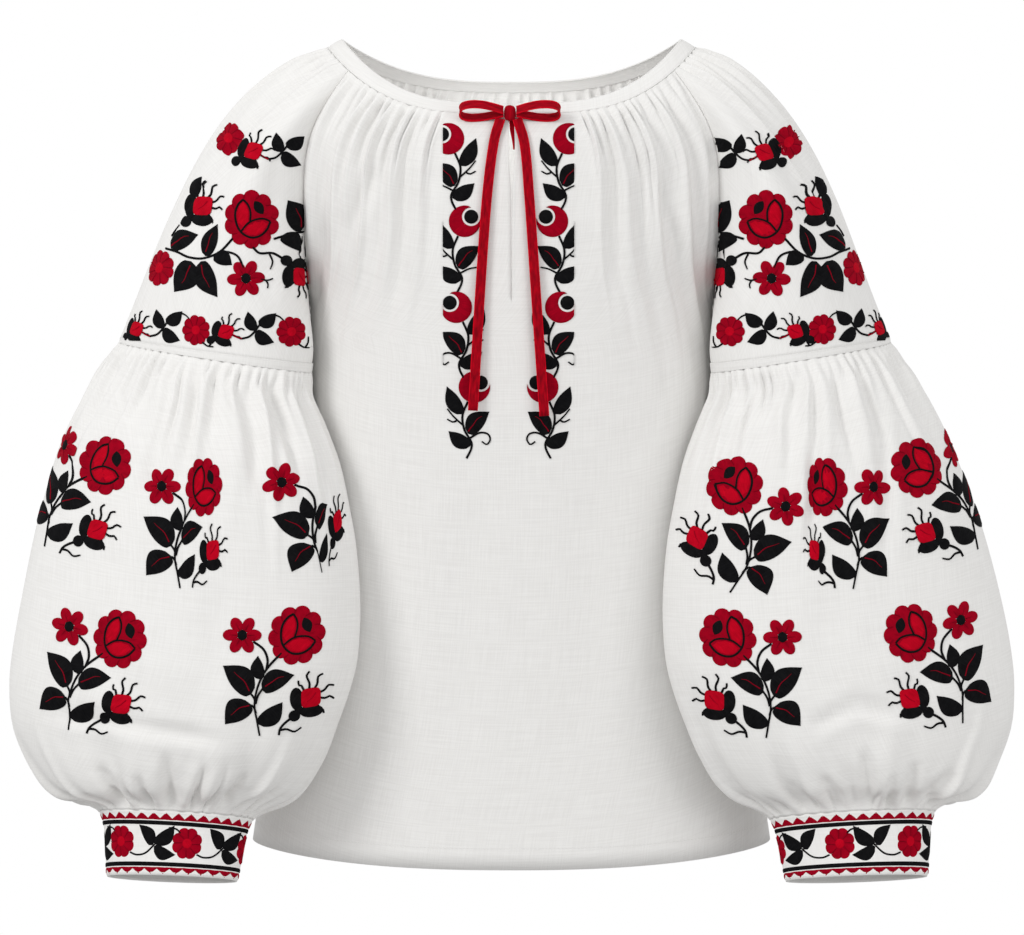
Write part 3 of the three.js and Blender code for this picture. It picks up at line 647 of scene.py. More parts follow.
UPPER_CREASES = {
    # by side: path (x, z) as seen from the front, width, depth in mm
    -1: [
        ([(-200, -60), (-230, -120), (-246, -190)], 11, -1.8),
        ([(-172, -60), (-184, -130), (-186, -200)], 9, -1.6),
    ],
    1: [
        ([(196, -60), (226, -120), (240, -190)], 11, -1.8),
        ([(170, -60), (180, -130), (184, -200)], 9, -1.6),
    ],
}
LOWER_CREASES = {
    -1: [
        ([(-253, -240), (-256, -276), (-270, -318), (-282, -352)], 6, -3.4),
        ([(-236, -240), (-239, -270), (-243, -304), (-247, -330)], 5, -3.2),
        ([(-224, -242), (-226, -275), (-225, -300)], 4, -1.8),
        ([(-208, -244), (-200, -275), (-193, -300), (-191, -345)], 5, -4.4),
        ([(-189, -246), (-173, -281), (-159, -318), (-152, -338)], 5, -4.6),
        ([(-268, -236), (-285, -270), (-300, -290)], 6, -2.2),
        ([(-291, -236), (-312, -268), (-330, -300)], 6, -2.4),
        ([(-359, -503), (-297, -507), (-265, -513), (-201, -522)], 6, -3.0),
        ([(-330, -420), (-300, -470), (-262, -500)], 13, -1.6),
        ([(-215, -400), (-222, -450), (-218, -500)], 14, -1.6),
        ([(-217, -578), (-212, -564), (-196, -546)], 4, -2.6),
        ([(-236, -578), (-234, -560), (-226, -536)], 4, -3.0),
        ([(-254, -578), (-256, -558), (-258, -528)], 4.5, -3.2),
        ([(-272, -578), (-276, -562), (-281, -544)], 4, -2.8),
        ([(-289, -578), (-298, -560), (-312, -540)], 4.5, -3.0),
    ],
    1: [
        ([(207, -252), (207, -305), (203, -345)], 5, -3.4),
        ([(228, -246), (227.5, -300), (226, -343), (221, -390)], 5, -5.2),
        ([(193, -246), (180, -276), (170, -300)], 5, -3.0),
        ([(215, -246), (217, -285), (213, -312)], 4, -1.8),
        ([(246, -240), (252, -285), (262, -318)], 5, -2.8),
        ([(262, -238), (276, -280), (281, -334), (280, -408)], 6, -3.0),
        ([(285, -236), (306, -270), (322, -300)], 6, -2.4),
        ([(217, -514), (257, -494), (303, -505)], 6, -3.0),
        ([(330, -430), (306, -476), (270, -500)], 13, -1.6),
        ([(238, -405), (232, -450), (236, -500)], 14, -1.6),
        ([(226, -578), (219, -566), (205, -550)], 4, -2.6),
        ([(247, -578), (243, -564), (231, -546)], 4, -3.0),
        ([(268, -578), (268, -560), (263, -524)], 4.5, -3.4),
        ([(281, -578), (282, -564), (286, -544)], 4, -2.8),
        ([(295, -578), (298, -562), (304, -536)], 4.5, -3.0),
        ([(309, -576), (318, -562), (336, -544)], 4.5, -2.8),
    ],
}

sleeves = {}
for label, side in SIDES:
    upper = upper_sleeve(side, UPPER_CREASES[side])
    strip = elbow_strip(side)
    lower = lower_sleeve(side, LOWER_CREASES[side])
    sleeves[side] = {"upper": upper, "strip": strip, "lower": lower}
    cloth_piece(f"upper_{label}", upper, f"sleeve_upper_{label}")
    cloth_piece(f"strip_{label}", strip, f"elbow_band_{label}", STRIP_THICK)
    cloth_piece(f"lower_{label}", lower, f"sleeve_lower_{label}")

# ---- Neckband and cuffs ----
# Linen folded double, topstitched: smooth bands a little thicker than the
# cloth, the neckband with the slight puckers that its gathers give it.

BAND_THICK = 1.8


def neckband():
    gap = 0.012
    phi = np.linspace(-np.pi / 2 + gap, 3 * np.pi / 2 - gap, 520)
    k = np.array([0.0, 0.06, 0.14, 0.3, 0.5, 0.7, 0.84, 0.9, 0.95, 0.983])
    base = neck(phi[None], k[:, None])
    inward = np.stack([-np.cos(phi) / 1.4, -np.sin(phi), np.full(len(phi), -0.9)], -1)
    inward /= np.linalg.norm(inward, axis=-1, keepdims=True)
    normal = np.broadcast_to(-inward, base.shape)
    swell = np.array([-0.35, 0.1, 0.32, 0.42, 0.45, 0.42, 0.3, 0.12, 0.3, 0.1])
    pucker = wander(7, 130, (phi + 2) / 6.3 * 120, -1, 1) * 0.16
    points = base + normal * (swell[:, None] + pucker[None] * np.sin(np.pi * k)[:, None])[..., None]
    return cloth_sheet(base, normal, points)


def cuff(side):
    rows = np.concatenate([[12], np.linspace(12.04, 12.96, 26), [13]])
    angle = np.linspace(0, 2 * np.pi, 240, endpoint=False)
    centre, base = ring(rows[:, None], angle[None], side)
    normal = normals_of(base, centre, wrap=True)
    swell = np.full(len(rows), 0.4)
    swell[0] = swell[-1] = 0.05
    points = base + normal * swell[:, None, None]
    return mirrored(cloth_sheet(base, normal, points, wrap=True), side)


band = neckband()
cloth_piece("neckband_cloth", band, "neckband", BAND_THICK)
for label, side in SIDES:
    sleeves[side]["cuff"] = cuff(side)
    cloth_piece(f"cuff_cloth_{label}", sleeves[side]["cuff"], f"cuff_{label}", BAND_THICK)

# ---- Ribbon: bow, tails and the strand in the slit ----
# Crimson velvet ribbon 7.5 mm wide, a flat strip with a soft raised pile and
# paler edges of painted sheen, swept along the tie's own line.

RIBBON = {"width": 7.5, "thick": 1.0}
KNOT = {"x": -1.2, "y": -99.3, "z": -53.2, "w": 9.2, "d": 7.0, "h": 12.0}
LOOP = {
    "s": (0.1, 7.4, 16, 24.6, 30.6, 32.6, 30.8, 24.8, 16.4, 7.6, 0.1),
    "q": (0.6, 4.0, 6.8, 7.2, 4.8, -0.2, -5.2, -7.4, -6.8, -4.4, -2.2),
    "lean": 0.78,
}
TAILS = {
    "left": {
        "x": (-8.4, -13.4, -18.2, -22.6, -29.1),
        "y": (-100.6, -104.2, -106.9, -107.6, -106.4),
        "z": (-57.4, -76, -114, -173, -277),
    },
    "right": {
        "x": (4.3, 9.9, 13.3, 17.4, 24.8),
        "y": (-100.4, -104.2, -106.9, -107.6, -106.4),
        "z": (-57.4, -77, -115, -174, -281),
    },
}


def velvet_material():
    material, tree, shader = principled("Velvet", (0.4, 0.002, 0.01), 0.75)
    uv = add(tree, "ShaderNodeUVMap", uv_map="cloth")
    split = add(tree, "ShaderNodeSeparateXYZ")
    tree.links.new(uv.outputs[0], split.inputs[0])
    away = math_node(tree, "ABSOLUTE", split.outputs["X"], 0.0)
    # Paler band along both long edges of the ribbon: painted sheen, a lighter colour standing in for the
    # velvet's highlight at its edges.
    rim = add(tree, "ShaderNodeMapRange")
    rim.inputs["From Min"].default_value = 3.0
    rim.inputs["From Max"].default_value = 3.35
    tree.links.new(away, rim.inputs["Value"])
    pile = streaks(tree, uv.outputs[0], 0.5, 0.12, 3.0)
    soft, painted_edge_sheen = math_node(tree, "MULTIPLY", pile, 0.9), math_node(tree, "MULTIPLY", rim.outputs[0], 0.45)
    mixed = math_node(tree, "ADD", soft, painted_edge_sheen)
    colour = two_tone(tree, mixed, (0.2, 0.0004, 0.006), (0.62, 0.001, 0.012), 0.3, 0.9)
    tree.links.new(colour, shader.inputs["Base Color"])
    shader.inputs["Sheen Weight"].default_value = 0.12
    shader.inputs["Sheen Tint"].default_value = (0.9, 0.02, 0.04, 1)
    shader.inputs["Specular IOR Level"].default_value = 0.05
    return material


velvet = velvet_material()


def swept_ribbon(name, path, across, node, width=RIBBON["width"]):
    """Flat ribbon along a path, its width along `across`."""
    tangent = np.gradient(path, axis=0)
    tangent /= np.linalg.norm(tangent, axis=1, keepdims=True)
    across = across - np.sum(across * tangent, axis=1, keepdims=True) * tangent
    across /= np.linalg.norm(across, axis=1, keepdims=True)
    out = np.cross(tangent, across)
    share = np.array([-1, -0.94, -0.8, -0.4, 0, 0.4, 0.8, 0.94, 1])
    swell = np.array([0.1, 0.32, 0.42, 0.5, 0.52, 0.5, 0.42, 0.32, 0.1])
    half = np.broadcast_to(np.asarray(width) / 2, len(path))
    sideways = across[:, None] * (half[:, None] * share)[..., None]
    faces_out = path[:, None] + sideways + out[:, None] * swell[:, None]
    run = np.concatenate([[0], np.cumsum(np.linalg.norm(np.diff(path, axis=0), axis=1))])
    grain = np.stack(np.broadcast_arrays(share[None] * RIBBON["width"] / 2, run[:, None]), -1)
    normals = np.broadcast_to(out[:, None], faces_out.shape)
    obj = shell(name, faces_out, normals, grid_quads(len(path), len(share)), RIBBON["thick"], velvet, grain)
    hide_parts(node)
    return obj, run[-1]


def tail(label, side):
    table = TAILS[label]
    knots = np.arange(5)
    t = np.linspace(0, 4, 90)
    path = np.stack([curve(knots, table[key], t) for key in "xyz"], -1)
    twist = 0.18 * side * (1 - smooth(0, 1.2, t)) + 0.06 * np.sin(t * 2.2)
    across = np.stack([np.cos(twist), np.sin(twist) * 0.8, 0 * t], -1)
    obj, length = swept_ribbon(f"tail_{label}", path, across, f"ribbon_tail_{label}")


def bow_loop(label, side):
    tilt = math.sqrt(1 - LOOP["lean"] ** 2)
    lean_axis = np.array([0, -LOOP["lean"], tilt])
    start = np.array([KNOT["x"] + side * (KNOT["w"] / 2 + 0.3), KNOT["y"] - 1.7, KNOT["z"] + 1.5])
    knots = np.arange(11)
    t = np.linspace(0, 10, 110)
    s, q = curve(knots, LOOP["s"], t), curve(knots, LOOP["q"], t)
    path = start + np.outer(s, [side, 0, 0]) + np.outer(q, lean_axis)
    across = np.broadcast_to([0, -tilt, -LOOP["lean"]], path.shape)
    swept_ribbon(f"loop_{label}", path[::side], across[::side], f"bow_loop_{label}")


def knot():
    t = np.sin(np.linspace(-1, 1, 21) * math.pi / 2)
    a = np.linspace(0, 2 * np.pi, 48, endpoint=False)
    power = lambda value: np.sign(value) * np.abs(value) ** 0.7
    swell = ((1 - 0.3 * t**2) * np.sqrt(np.maximum(1 - t**8, 0.01)))[:, None]
    crease_line = 1 - 0.05 * np.exp(-(((t[:, None] - 0.35 * np.sin(a)[None]) / 0.12) ** 2))
    radius = swell * crease_line
    x = KNOT["x"] + KNOT["w"] / 2 * np.broadcast_to(t[:, None], radius.shape) * 0.98
    y = KNOT["y"] + KNOT["d"] / 2 * radius * power(np.cos(a))
    z = KNOT["z"] + KNOT["h"] / 2 * radius * power(np.sin(a))
    points = np.stack([x, y, z], -1)
    centre = points.mean(axis=1, keepdims=True)
    normal = normals_of(points, centre, wrap=True)
    grain = np.stack(np.broadcast_arrays(t[:, None] * 3.3, a[None] * 4), -1)
    quads = grid_quads(len(t), len(a), wrap=True, flip=True)
    obj = shell("knot", points, normal, quads, RIBBON["thick"], velvet, grain)
    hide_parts("bow_knot")


for label, side in SIDES:
    tail(label, side)
    bow_loop(label, side)
knot()


def inner_strand():
    v = np.linspace(0.03, 0.3, 40)
    path = body(np.array([0.0]), v, -1)[:, 0] + np.stack([0.2 + 6 * v, 2.9 + 0 * v, 0 * v], -1)
    across = np.broadcast_to([1.0, 0.25, 0], path.shape)
    swept_ribbon("strand", path, across, "ribbon_inner", 4.6 - 3.4 * smooth(0.12, 0.3, v))


inner_strand()

# ---- Embroidery: how thread is laid on the cloth ----
# Red and black cotton in satin stitch. Every shape is a low raised patch that
# follows the cloth under it: a blob round a centre, or a span between two
# edges, drawn in mm to the right and up from a spot on a cloth piece.


def thread_material(name, dark, light, roughness):
    material, tree, shader = principled(name, dark, roughness)
    uv = add(tree, "ShaderNodeUVMap", uv_map="cloth")
    lines = streaks(tree, uv.outputs[0], 2.4, 0.12)
    patches = streaks(tree, uv.outputs[0], 0.14, 0.14, 3.0)
    fine, broad = math_node(tree, "MULTIPLY", lines, 0.55), math_node(tree, "MULTIPLY", patches, 0.45)
    mixed = math_node(tree, "ADD", fine, broad)
    tree.links.new(two_tone(tree, mixed, dark, light, 0.32, 0.7), shader.inputs["Base Color"])
    bump = add(tree, "ShaderNodeBump")
    bump.inputs["Strength"].default_value = 0.5
    bump.inputs["Distance"].default_value = 0.0003
    tree.links.new(lines, bump.inputs["Height"])
    tree.links.new(bump.outputs[0], shader.inputs["Normal"])
    shader.inputs["Specular IOR Level"].default_value = 0.03
    return material


THREADS = [
    thread_material("Red thread", (0.2, 0.0004, 0.008), (0.4, 0.0008, 0.014), 0.8),
    thread_material("Black thread", (0.002, 0.002, 0.0025), (0.010, 0.010, 0.011), 0.7),
    thread_material("Dark red thread", (0.14, 0.0008, 0.007), (0.28, 0.001, 0.012), 0.8),
    thread_material("Bright red thread", (0.34, 0.0008, 0.009), (0.56, 0.0015, 0.016), 0.8),
    linen,
]
RED, BLACK, VEIN, BRIGHT, WHITE = range(5)
LEVEL = 2.0  # height of a slice of cloth that is opened out, in mm
PROUD = 0.35  # how far thread stands off the cloth, in mm
FAR = 1e4


def opened(sheet, back):
    """The sheet in level slices as seen from the front, opened out where it
    turns away: flat places, the cloth's points there and a tree to find them."""
    key = "opened back" if back else "opened front"
    if key in sheet:
        return sheet[key]
    away = sheet["normals"][..., 1] * (-1 if back else 1)
    order = np.arange(away.shape[1])
    if sheet["wrap"]:
        order = (np.argmax(away.mean(axis=0)) + np.arange(len(order) + 1)) % len(order)
    columns = len(order)
    fallen = -sheet["smooth"][:, order, 2]
    fallen = np.maximum.accumulate(fallen + 1e-4 * np.arange(len(fallen))[:, None], axis=0)
    levels = np.arange(fallen.min(), fallen.max(), LEVEL)
    count = np.arange(len(fallen))
    rows = np.stack([np.interp(levels, fallen[:, k], count, left=-1, right=-1) for k in range(columns)], 1)
    inside = rows >= 0
    low = np.clip(rows.astype(int), 0, len(fallen) - 2)
    f = (rows - low)[..., None]
    at = lambda grid: grid[low, order[None]] * (1 - f) + grid[low + 1, order[None]] * f
    part, cloth, normals = at(sheet["smooth"]), at(sheet["points"]), at(sheet["normals"])
    away = normals[..., 1] * (-1 if back else 1)
    front = np.argmin(np.where(inside, away, 9), axis=1)
    each = np.arange(len(levels))
    near = np.clip(front, 1, columns - 2)
    way = np.sign(part[each, near + 1, 0] - part[each, near - 1, 0])[:, None]
    step = np.diff(part, axis=1)
    seen = np.maximum(np.abs(step[..., 0]), 0.6 * np.linalg.norm(step, axis=-1))
    seen = way * seen * (inside[:, 1:] & inside[:, :-1])
    u = np.concatenate([np.zeros((len(levels), 1)), np.cumsum(seen, axis=1)], axis=1)
    u = u + (part[each, front, 0] - u[each, front])[:, None]
    flat = np.stack([u, np.broadcast_to(-levels[:, None], u.shape), 0 * u], -1).reshape(-1, 3)
    quads = grid_quads(len(levels), columns)
    quads = quads[(away.ravel()[quads].max(axis=1) < 0.4) & inside.ravel()[quads].all(axis=1)]
    triangles = np.concatenate([quads[:, :3], quads[:, [0, 2, 3]]])
    sheet[key] = {
        "flat": flat,
        "part": part.reshape(-1, 3),
        "hidden": np.where((away < -0.03) & inside, 0, FAR).ravel(),
        "cloth": cloth.reshape(-1, 3),
        "normals": normals.reshape(-1, 3),
        "triangles": triangles,
        "tree": BVHTree.FromPolygons(flat.tolist(), triangles.tolist()),
    }
    return sheet[key]


def spot(sheet, x, z, to, turn=0.0, back=False, limits=(-FAR, FAR), fold=(FAR, 1.0)):
    """Turns motif mm into points on the cloth round the point seen at x, z.
    Motif right is +X when to is 1; past the fold the cloth is drawn together."""
    plan = opened(sheet, back)
    part, flat, triangles = plan["part"], plan["flat"], plan["triangles"]
    near = np.argmin(np.hypot(part[:, 0] - x, part[:, 2] - z) + plan["hidden"])
    middle = flat[near, 0] + x - part[near, 0]
    c, s = math.cos(turn), math.sin(turn)

    def put(xy, height):
        px, py = xy[..., 0].ravel(), xy[..., 1].ravel()
        a = c * px - s * py
        a = np.where(a > fold[0], fold[0] + (a - fold[0]) * fold[1], a)
        u = middle + to * np.clip(a, *limits)
        v = z + (s * px + c * py)
        hits = []
        for one in zip(u.tolist(), v.tolist()):
            place, _, index, _ = plan["tree"].ray_cast((*one, 1.0), (0, 0, -1))
            if index is None:
                place, _, index, _ = plan["tree"].find_nearest((*one, 0.0))
            hits.append((index, place.x, place.y))
        hits = np.array(hits)
        corners = triangles[hits[:, 0].astype(int)]
        p0, p1, p2 = (flat[corners[:, k], :2] for k in range(3))
        e1, e2, d = p1 - p0, p2 - p0, hits[:, 1:] - p0
        area = e1[:, 0] * e2[:, 1] - e1[:, 1] * e2[:, 0]
        area = np.where(np.abs(area) < 1e-9, 1e-9, area)
        w1 = ((d[:, 0] * e2[:, 1] - d[:, 1] * e2[:, 0]) / area)[:, None]
        w2 = ((e1[:, 0] * d[:, 1] - e1[:, 1] * d[:, 0]) / area)[:, None]
        near, right, below = corners.T
        mix = lambda grid: grid[near] * (1 - w1 - w2) + grid[right] * w1 + grid[below] * w2
        normal = mix(plan["normals"])
        return mix(plan["cloth"]) + normal * (np.ravel(height)[:, None] + PROUD), normal

    return put


def lay(work, put, grid, height, uv, colour, wrap=False):
    """Adds one raised patch, given as a grid of motif mm, to the work."""
    points, normals = put(grid, height)
    rows, columns = grid.shape[:2]
    quads = grid_quads(rows, columns, wrap)
    a, b, c = (points[quads[:, k]] for k in (0, 1, 2))
    if np.sum(np.cross(b - a, c - a) * normals[quads[:, 0]]) < 0:
        quads = quads[:, ::-1]
    work["points"].append(points)
    work["uv"].append(uv.reshape(-1, 2))
    work["faces"].append(quads + work["count"])
    work["slots"].append(np.full(len(quads), colour))
    work["count"] += len(points)


def blob(work, put, outline, colour, height=0.45, base=0.0, radial=False):
    centre = outline.mean(axis=0)
    away = np.linalg.norm(outline - centre, axis=1)
    shares = np.concatenate([[1, 0.95], np.linspace(0.86, 0, max(3, int(away.max() / 2.4)))])
    grid = centre + shares[:, None, None] * (outline - centre)
    rise = base - 0.05 + (height + 0.05) * np.sqrt(1 - shares**6)
    height = np.broadcast_to(rise[:, None], grid.shape[:2])
    if radial:
        run = np.concatenate([[0], np.cumsum(np.linalg.norm(np.diff(outline, axis=0), axis=1))])
        uv = np.stack(np.broadcast_arrays(run[None], shares[:, None] * away.max()), -1)
    else:
        uv = grid @ np.array([[0.8, 0.6], [-0.6, 0.8]])
    lay(work, put, grid, height, uv, colour, wrap=True)


def span(work, put, one, two, colour, height=0.45, base=0.0, steps=5):
    t = np.linspace(0, 1, steps)
    grid = one[:, None] * (1 - t)[:, None] + two[:, None] * t[:, None]
    width = np.linalg.norm(two - one, axis=1)[:, None]
    dome = np.sqrt(np.clip(1 - (2 * t - 1) ** 4, 0, 1))
    rise = base - 0.05 + (height * np.minimum(1, width / 0.8) + 0.05) * dome
    middle = (one + two) / 2
    run = np.concatenate([[0], np.cumsum(np.linalg.norm(np.diff(middle, axis=0), axis=1))])
    uv = np.stack(np.broadcast_arrays(run[:, None], t[None] * width), -1)
    lay(work, put, grid, rise, uv, colour)


def through(points, spacing=1.6):
    points = np.asarray(points, float)
    run = np.concatenate([[0], np.cumsum(np.linalg.norm(np.diff(points, axis=0), axis=1))])
    t = np.linspace(0, run[-1], max(5, int(run[-1] / spacing)))
    return np.stack([curve(run, points[:, 0], t), curve(run, points[:, 1], t)], -1)


def stroke(work, put, points, colour=BLACK, width=1.5, base=0.0, thin=0.7):
    """Stem stitch along a line, a little thinner at its far end."""
    path = through(points)
    way = np.gradient(path, axis=0)
    way /= np.maximum(np.linalg.norm(way, axis=1, keepdims=True), 1e-6)
    half = width / 2 * np.linspace(1, thin, len(path))[:, None]
    side = np.stack([-way[:, 1], way[:, 0]], -1) * half
    span(work, put, path + side, path - side, colour, 0.5, base)


def turned(points, angle, move=(0, 0)):
    c, s = math.cos(angle), math.sin(angle)
    return np.asarray(points, float) @ np.array([[c, s], [-s, c]]) + np.asarray(move, float)


def oval(x, y, rx, ry, angle=0.0, count=22):
    t = np.linspace(0, 2 * np.pi, count, endpoint=False)
    return turned(np.stack([rx * np.cos(t), ry * np.sin(t)], -1), angle, (x, y))


# ---- Embroidery motifs: flowers, leaves, buds and the sprays made of them ----
# Red petals and black stems and leaves, as on folk blouses of this kind. All
# places are mm to the right and up from the motif's own middle.

HOOP = [(-0.3, 0.66), (-0.47, 0.5), (-0.58, 0.2), (-0.52, -0.2), (-0.34, -0.47),
        (-0.02, -0.62), (0.31, -0.55), (0.55, -0.34), (0.67, -0.08)]
LENS = [(0.67, -0.06), (0.43, 0.03), (0.16, 0.0), (-0.08, -0.1), (-0.22, -0.22), (-0.36, -0.4)]
FOLD_LINE = [(-0.3, 0.66), (-0.14, 0.5), (-0.05, 0.25), (-0.06, -0.08)]
LEFT_PETAL = [(-0.3, 0.6), (-0.44, 0.44), (-0.52, 0.18), (-0.48, -0.14),
              (-0.3, -0.3), (-0.12, -0.08), (-0.11, 0.24), (-0.18, 0.46)]
LOW_PETAL = [(-0.3, -0.42), (-0.1, -0.56), (0.14, -0.56), (0.42, -0.42),
             (0.58, -0.14), (0.4, -0.04), (0.12, -0.07), (-0.12, -0.2)]
BUD_RAYS = ((-80, 16, 9), (-49, 20, 8), (-20, 20, 8.5), (16, 19, 8.5), (48, 17, 8), (94, 15.5, 9))


def rose_outline(radius, lobes):
    t = np.linspace(0, 2 * np.pi, lobes * 8, endpoint=False)
    r = radius * (0.87 + 0.13 * np.abs(np.sin(t * lobes / 2)) ** 0.7)
    return np.stack([r * np.cos(t), 1.06 * r * np.sin(t)], -1)


def rose(work, put, x, y, radius, lobes=10, angle=0.0, ring=True):
    at = lambda points: turned(np.asarray(points) * (radius, 1.06 * radius), angle, (x, y))
    blob(work, put, turned(rose_outline(radius, lobes), angle, (x, y)), RED, radial=True)
    tip, inner = (0.86, 0.7) if ring else (0.84, 0.32)
    for k in range(lobes):
        a = 2 * math.pi * k / lobes
        b = a + 0.12
        notch = [(tip * math.cos(a), tip * math.sin(a)), (inner * math.cos(b), inner * math.sin(b))]
        stroke(work, put, at(notch), VEIN, 0.8, 0.38)
    if not ring:
        blob(work, put, oval(x, y, radius * 0.3, radius * 0.32), BRIGHT, 0.3, 0.4)
        return
    for petal in (LEFT_PETAL, LOW_PETAL):
        blob(work, put, at(petal), BRIGHT, 0.25, 0.36)
    for path, width in ((HOOP, 1.7), (LENS, 1.5), (FOLD_LINE, 1.5)):
        stroke(work, put, at(path), BLACK, width, 0.46, 1)
    seed = turned(leaf_outline(0.56, 0.36), math.radians(38), (0.08, 0.62))
    blob(work, put, at(seed), BLACK, 0.3, 0.42)


def leaf_outline(length, width):
    """Pointed oval hanging down from the origin."""
    t = np.linspace(0, 1, 12)
    half = width / 2 * np.sin(np.pi * t) ** 0.8
    side = np.stack([half, -length * t], -1)
    return np.concatenate([side, (side * (-1, 1))[-2:0:-1]])


def open_flower(work, put, x, y, radius, petals=6, angle=0.52):
    for k in range(petals):
        a = angle + 2 * math.pi * k / petals
        petal = oval(0, 0.62 * radius, 0.31 * radius, 0.41 * radius)
        blob(work, put, turned(petal, a, (x, y)), RED)
        stroke(work, put, turned([(0, 0.3 * radius), (0, 0.66 * radius)], a, (x, y)), VEIN, 0.9, 0.38, 0.4)
    blob(work, put, oval(x, y, 0.25 * radius, 0.28 * radius), BLACK, 0.35, 0.4)


def leaf(work, put, base, tip, width, vein=True, bend=0.12):
    """Leaf from a round base to a pointed tip, belly to the left when bend > 0."""
    base, tip = np.asarray(base, float), np.asarray(tip, float)
    axis = tip - base
    length = np.linalg.norm(axis)
    side = np.array([-axis[1], axis[0]]) / length
    t = np.linspace(0, 1, max(12, int(length / 1.4)))
    spine = base + np.outer(t, axis) + np.outer(bend * length * np.sin(np.pi * t), side)
    half = width / 2 * 1.06 * np.sin(np.pi * t**0.8) ** (0.55 + 0.5 * t)
    span(work, put, spine + np.outer(half, side), spine - np.outer(half, side), BLACK, 0.5, steps=7)
    if vein:
        mid = slice(len(t) // 9, 3 * len(t) // 4)
        shake = 0.35 * np.sin(t * 14)[:, None] * side
        stroke(work, put, (spine + shake)[mid][:: max(1, len(t) // 8)], VEIN, 1.1, 0.42, 0.35)


def bud(work, put, x, y, angle, size=1.0):
    """Square red bud, a corner down in a cup of two black lobes; angle 0 is up."""
    at = lambda points: turned(np.asarray(points, float) * size, angle, (x, y))
    for degrees, reach, start in BUD_RAYS:
        a = math.radians(degrees)
        ray = [(r * math.sin(a + bend), r * math.cos(a + bend)) for r, bend in
               ((start - 1.5, 0), (start + 3, 0.08), (reach - 3, -0.03), (reach, 0.1))]
        stroke(work, put, at(ray), BLACK, 1.75 * max(size, 0.8), 0, 0.85)
    for s in (-1, 1):
        blob(work, put, at(oval(7.2 * s, -6.9, 4.9, 8.6, -0.785 * s)), BLACK, 0.5)
    blob(work, put, at(oval(0, -17.4, 4.2, 4.4)), BLACK, 0.5, 0.1)
    stroke(work, put, at([(0, -9), (0, -16)]), BLACK, 5.2, 0, 1)
    t = np.linspace(0, 2 * np.pi, 36, endpoint=False)
    square = lambda v: np.sign(v) * np.abs(v) ** 0.52
    head = np.stack([7.2 * square(np.cos(t)), 7.2 * square(np.sin(t))], -1)
    blob(work, put, at(turned(head, math.radians(45), (0, 0.4)) * (0.96, 1.06)), BRIGHT, 0.55, 0.3)
    stroke(work, put, at([(0, 5.4), (0.5, 1), (-0.3, -4)]), RED, 0.9, 0.78, 0.5)


def spray(work, put, with_rose=True):
    """Rose and open flower on one leafy stem, with a bud beside them."""
    stem = [(-11, -13), (-21.5, -25), (-27.7, -38), (-29.8, -52), (-27.7, -64), (-25.6, -75)]
    stroke(work, put, stem if with_rose else stem[1:], width=1.9)
    stroke(work, put, [(-31.9, -4.6), (-24.2, -10.4), (-21, -18), (-21.7, -25)], width=1.8, thin=1)
    for path in ([(-29.3, -51), (-30, -47), (-32.5, -43.6)], [(-29, -51), (-27.5, -45), (-24.2, -39.5)],
                 [(-28.7, -58), (-30, -54), (-32.3, -51.7)]):
        stroke(work, put, path, width=1.7, thin=0.9)
    leaf(work, put, (-25.6, -32.8), (-28.1, -15), 9.5, False, 0.1)
    leaf(work, put, (-32.3, -43.6), (-54, -22.6), 17, bend=-0.1)
    leaf(work, put, (-24.6, -40.5), (-1, -29.5), 14.5, bend=0.12)
    leaf(work, put, (-32.3, -51.4), (-51.5, -66), 17, bend=-0.14)
    leaf(work, put, (-26.8, -66.3), (-9.4, -49.6), 12.5, False, -0.1)
    open_flower(work, put, -40.2, 0, 14)
    bud(work, put, 10.7, -47.1, math.radians(-41), 1.0)
    stroke(work, put, [(-2, -61), (-8, -66), (-11, -70), (-11.8, -74.5)], width=1.9, thin=0.9)
    stroke(work, put, [(-11, -70.8), (-6.2, -70.2), (-0.7, -72.2), (4.6, -69.4)], width=1.8)
    if with_rose:
        rose(work, put, 0, 0, 21, angle=-0.22)


BUD_REACH = 48.6  # from a garland's rose to its bud, in mm


def garland(work, put, x, size=0.74, with_rose=True):
    """Bud, three leaves and a small rose in a row; x is the rose's middle."""
    bud(work, put, x - BUD_REACH, 0, math.radians(-62), size)
    stroke(work, put, [(x - 44, -1.8), (x - 40, -3.8), (x - 36.5, -5)], RED, 1.6, thin=1)
    stroke(work, put, [(x - 36.5, -5), (x - 31, -3.5), (x - 26.6, 0.6), (x - 23.5, 5.2)], width=1.6, thin=1)
    leaf(work, put, (x - 26.8, 0.8), (x - 32, 15.5), 8.6, False, 0.08)
    leaf(work, put, (x - 23.8, 5), (x - 11, 14.2), 9.6, False, -0.1)
    leaf(work, put, (x - 26.4, 0.4), (x - 12.4, -8), 9.4, False, -0.12)
    if not with_rose:
        return
    stroke(work, put, [(x - 11.5, 12.6), (x - 8.5, 11.4), (x - 5.5, 8.6)], width=1.4)
    rose(work, put, x, 0, 10.9, lobes=9, ring=False)
    stroke(work, put, [(x + 5, -9), (x + 9, -12), (x + 13.5, -12.4)], width=1.5)
    stroke(work, put, [(x + 10, -12.2), (x + 12.5, -8.5), (x + 12.8, -4)], width=1.5)


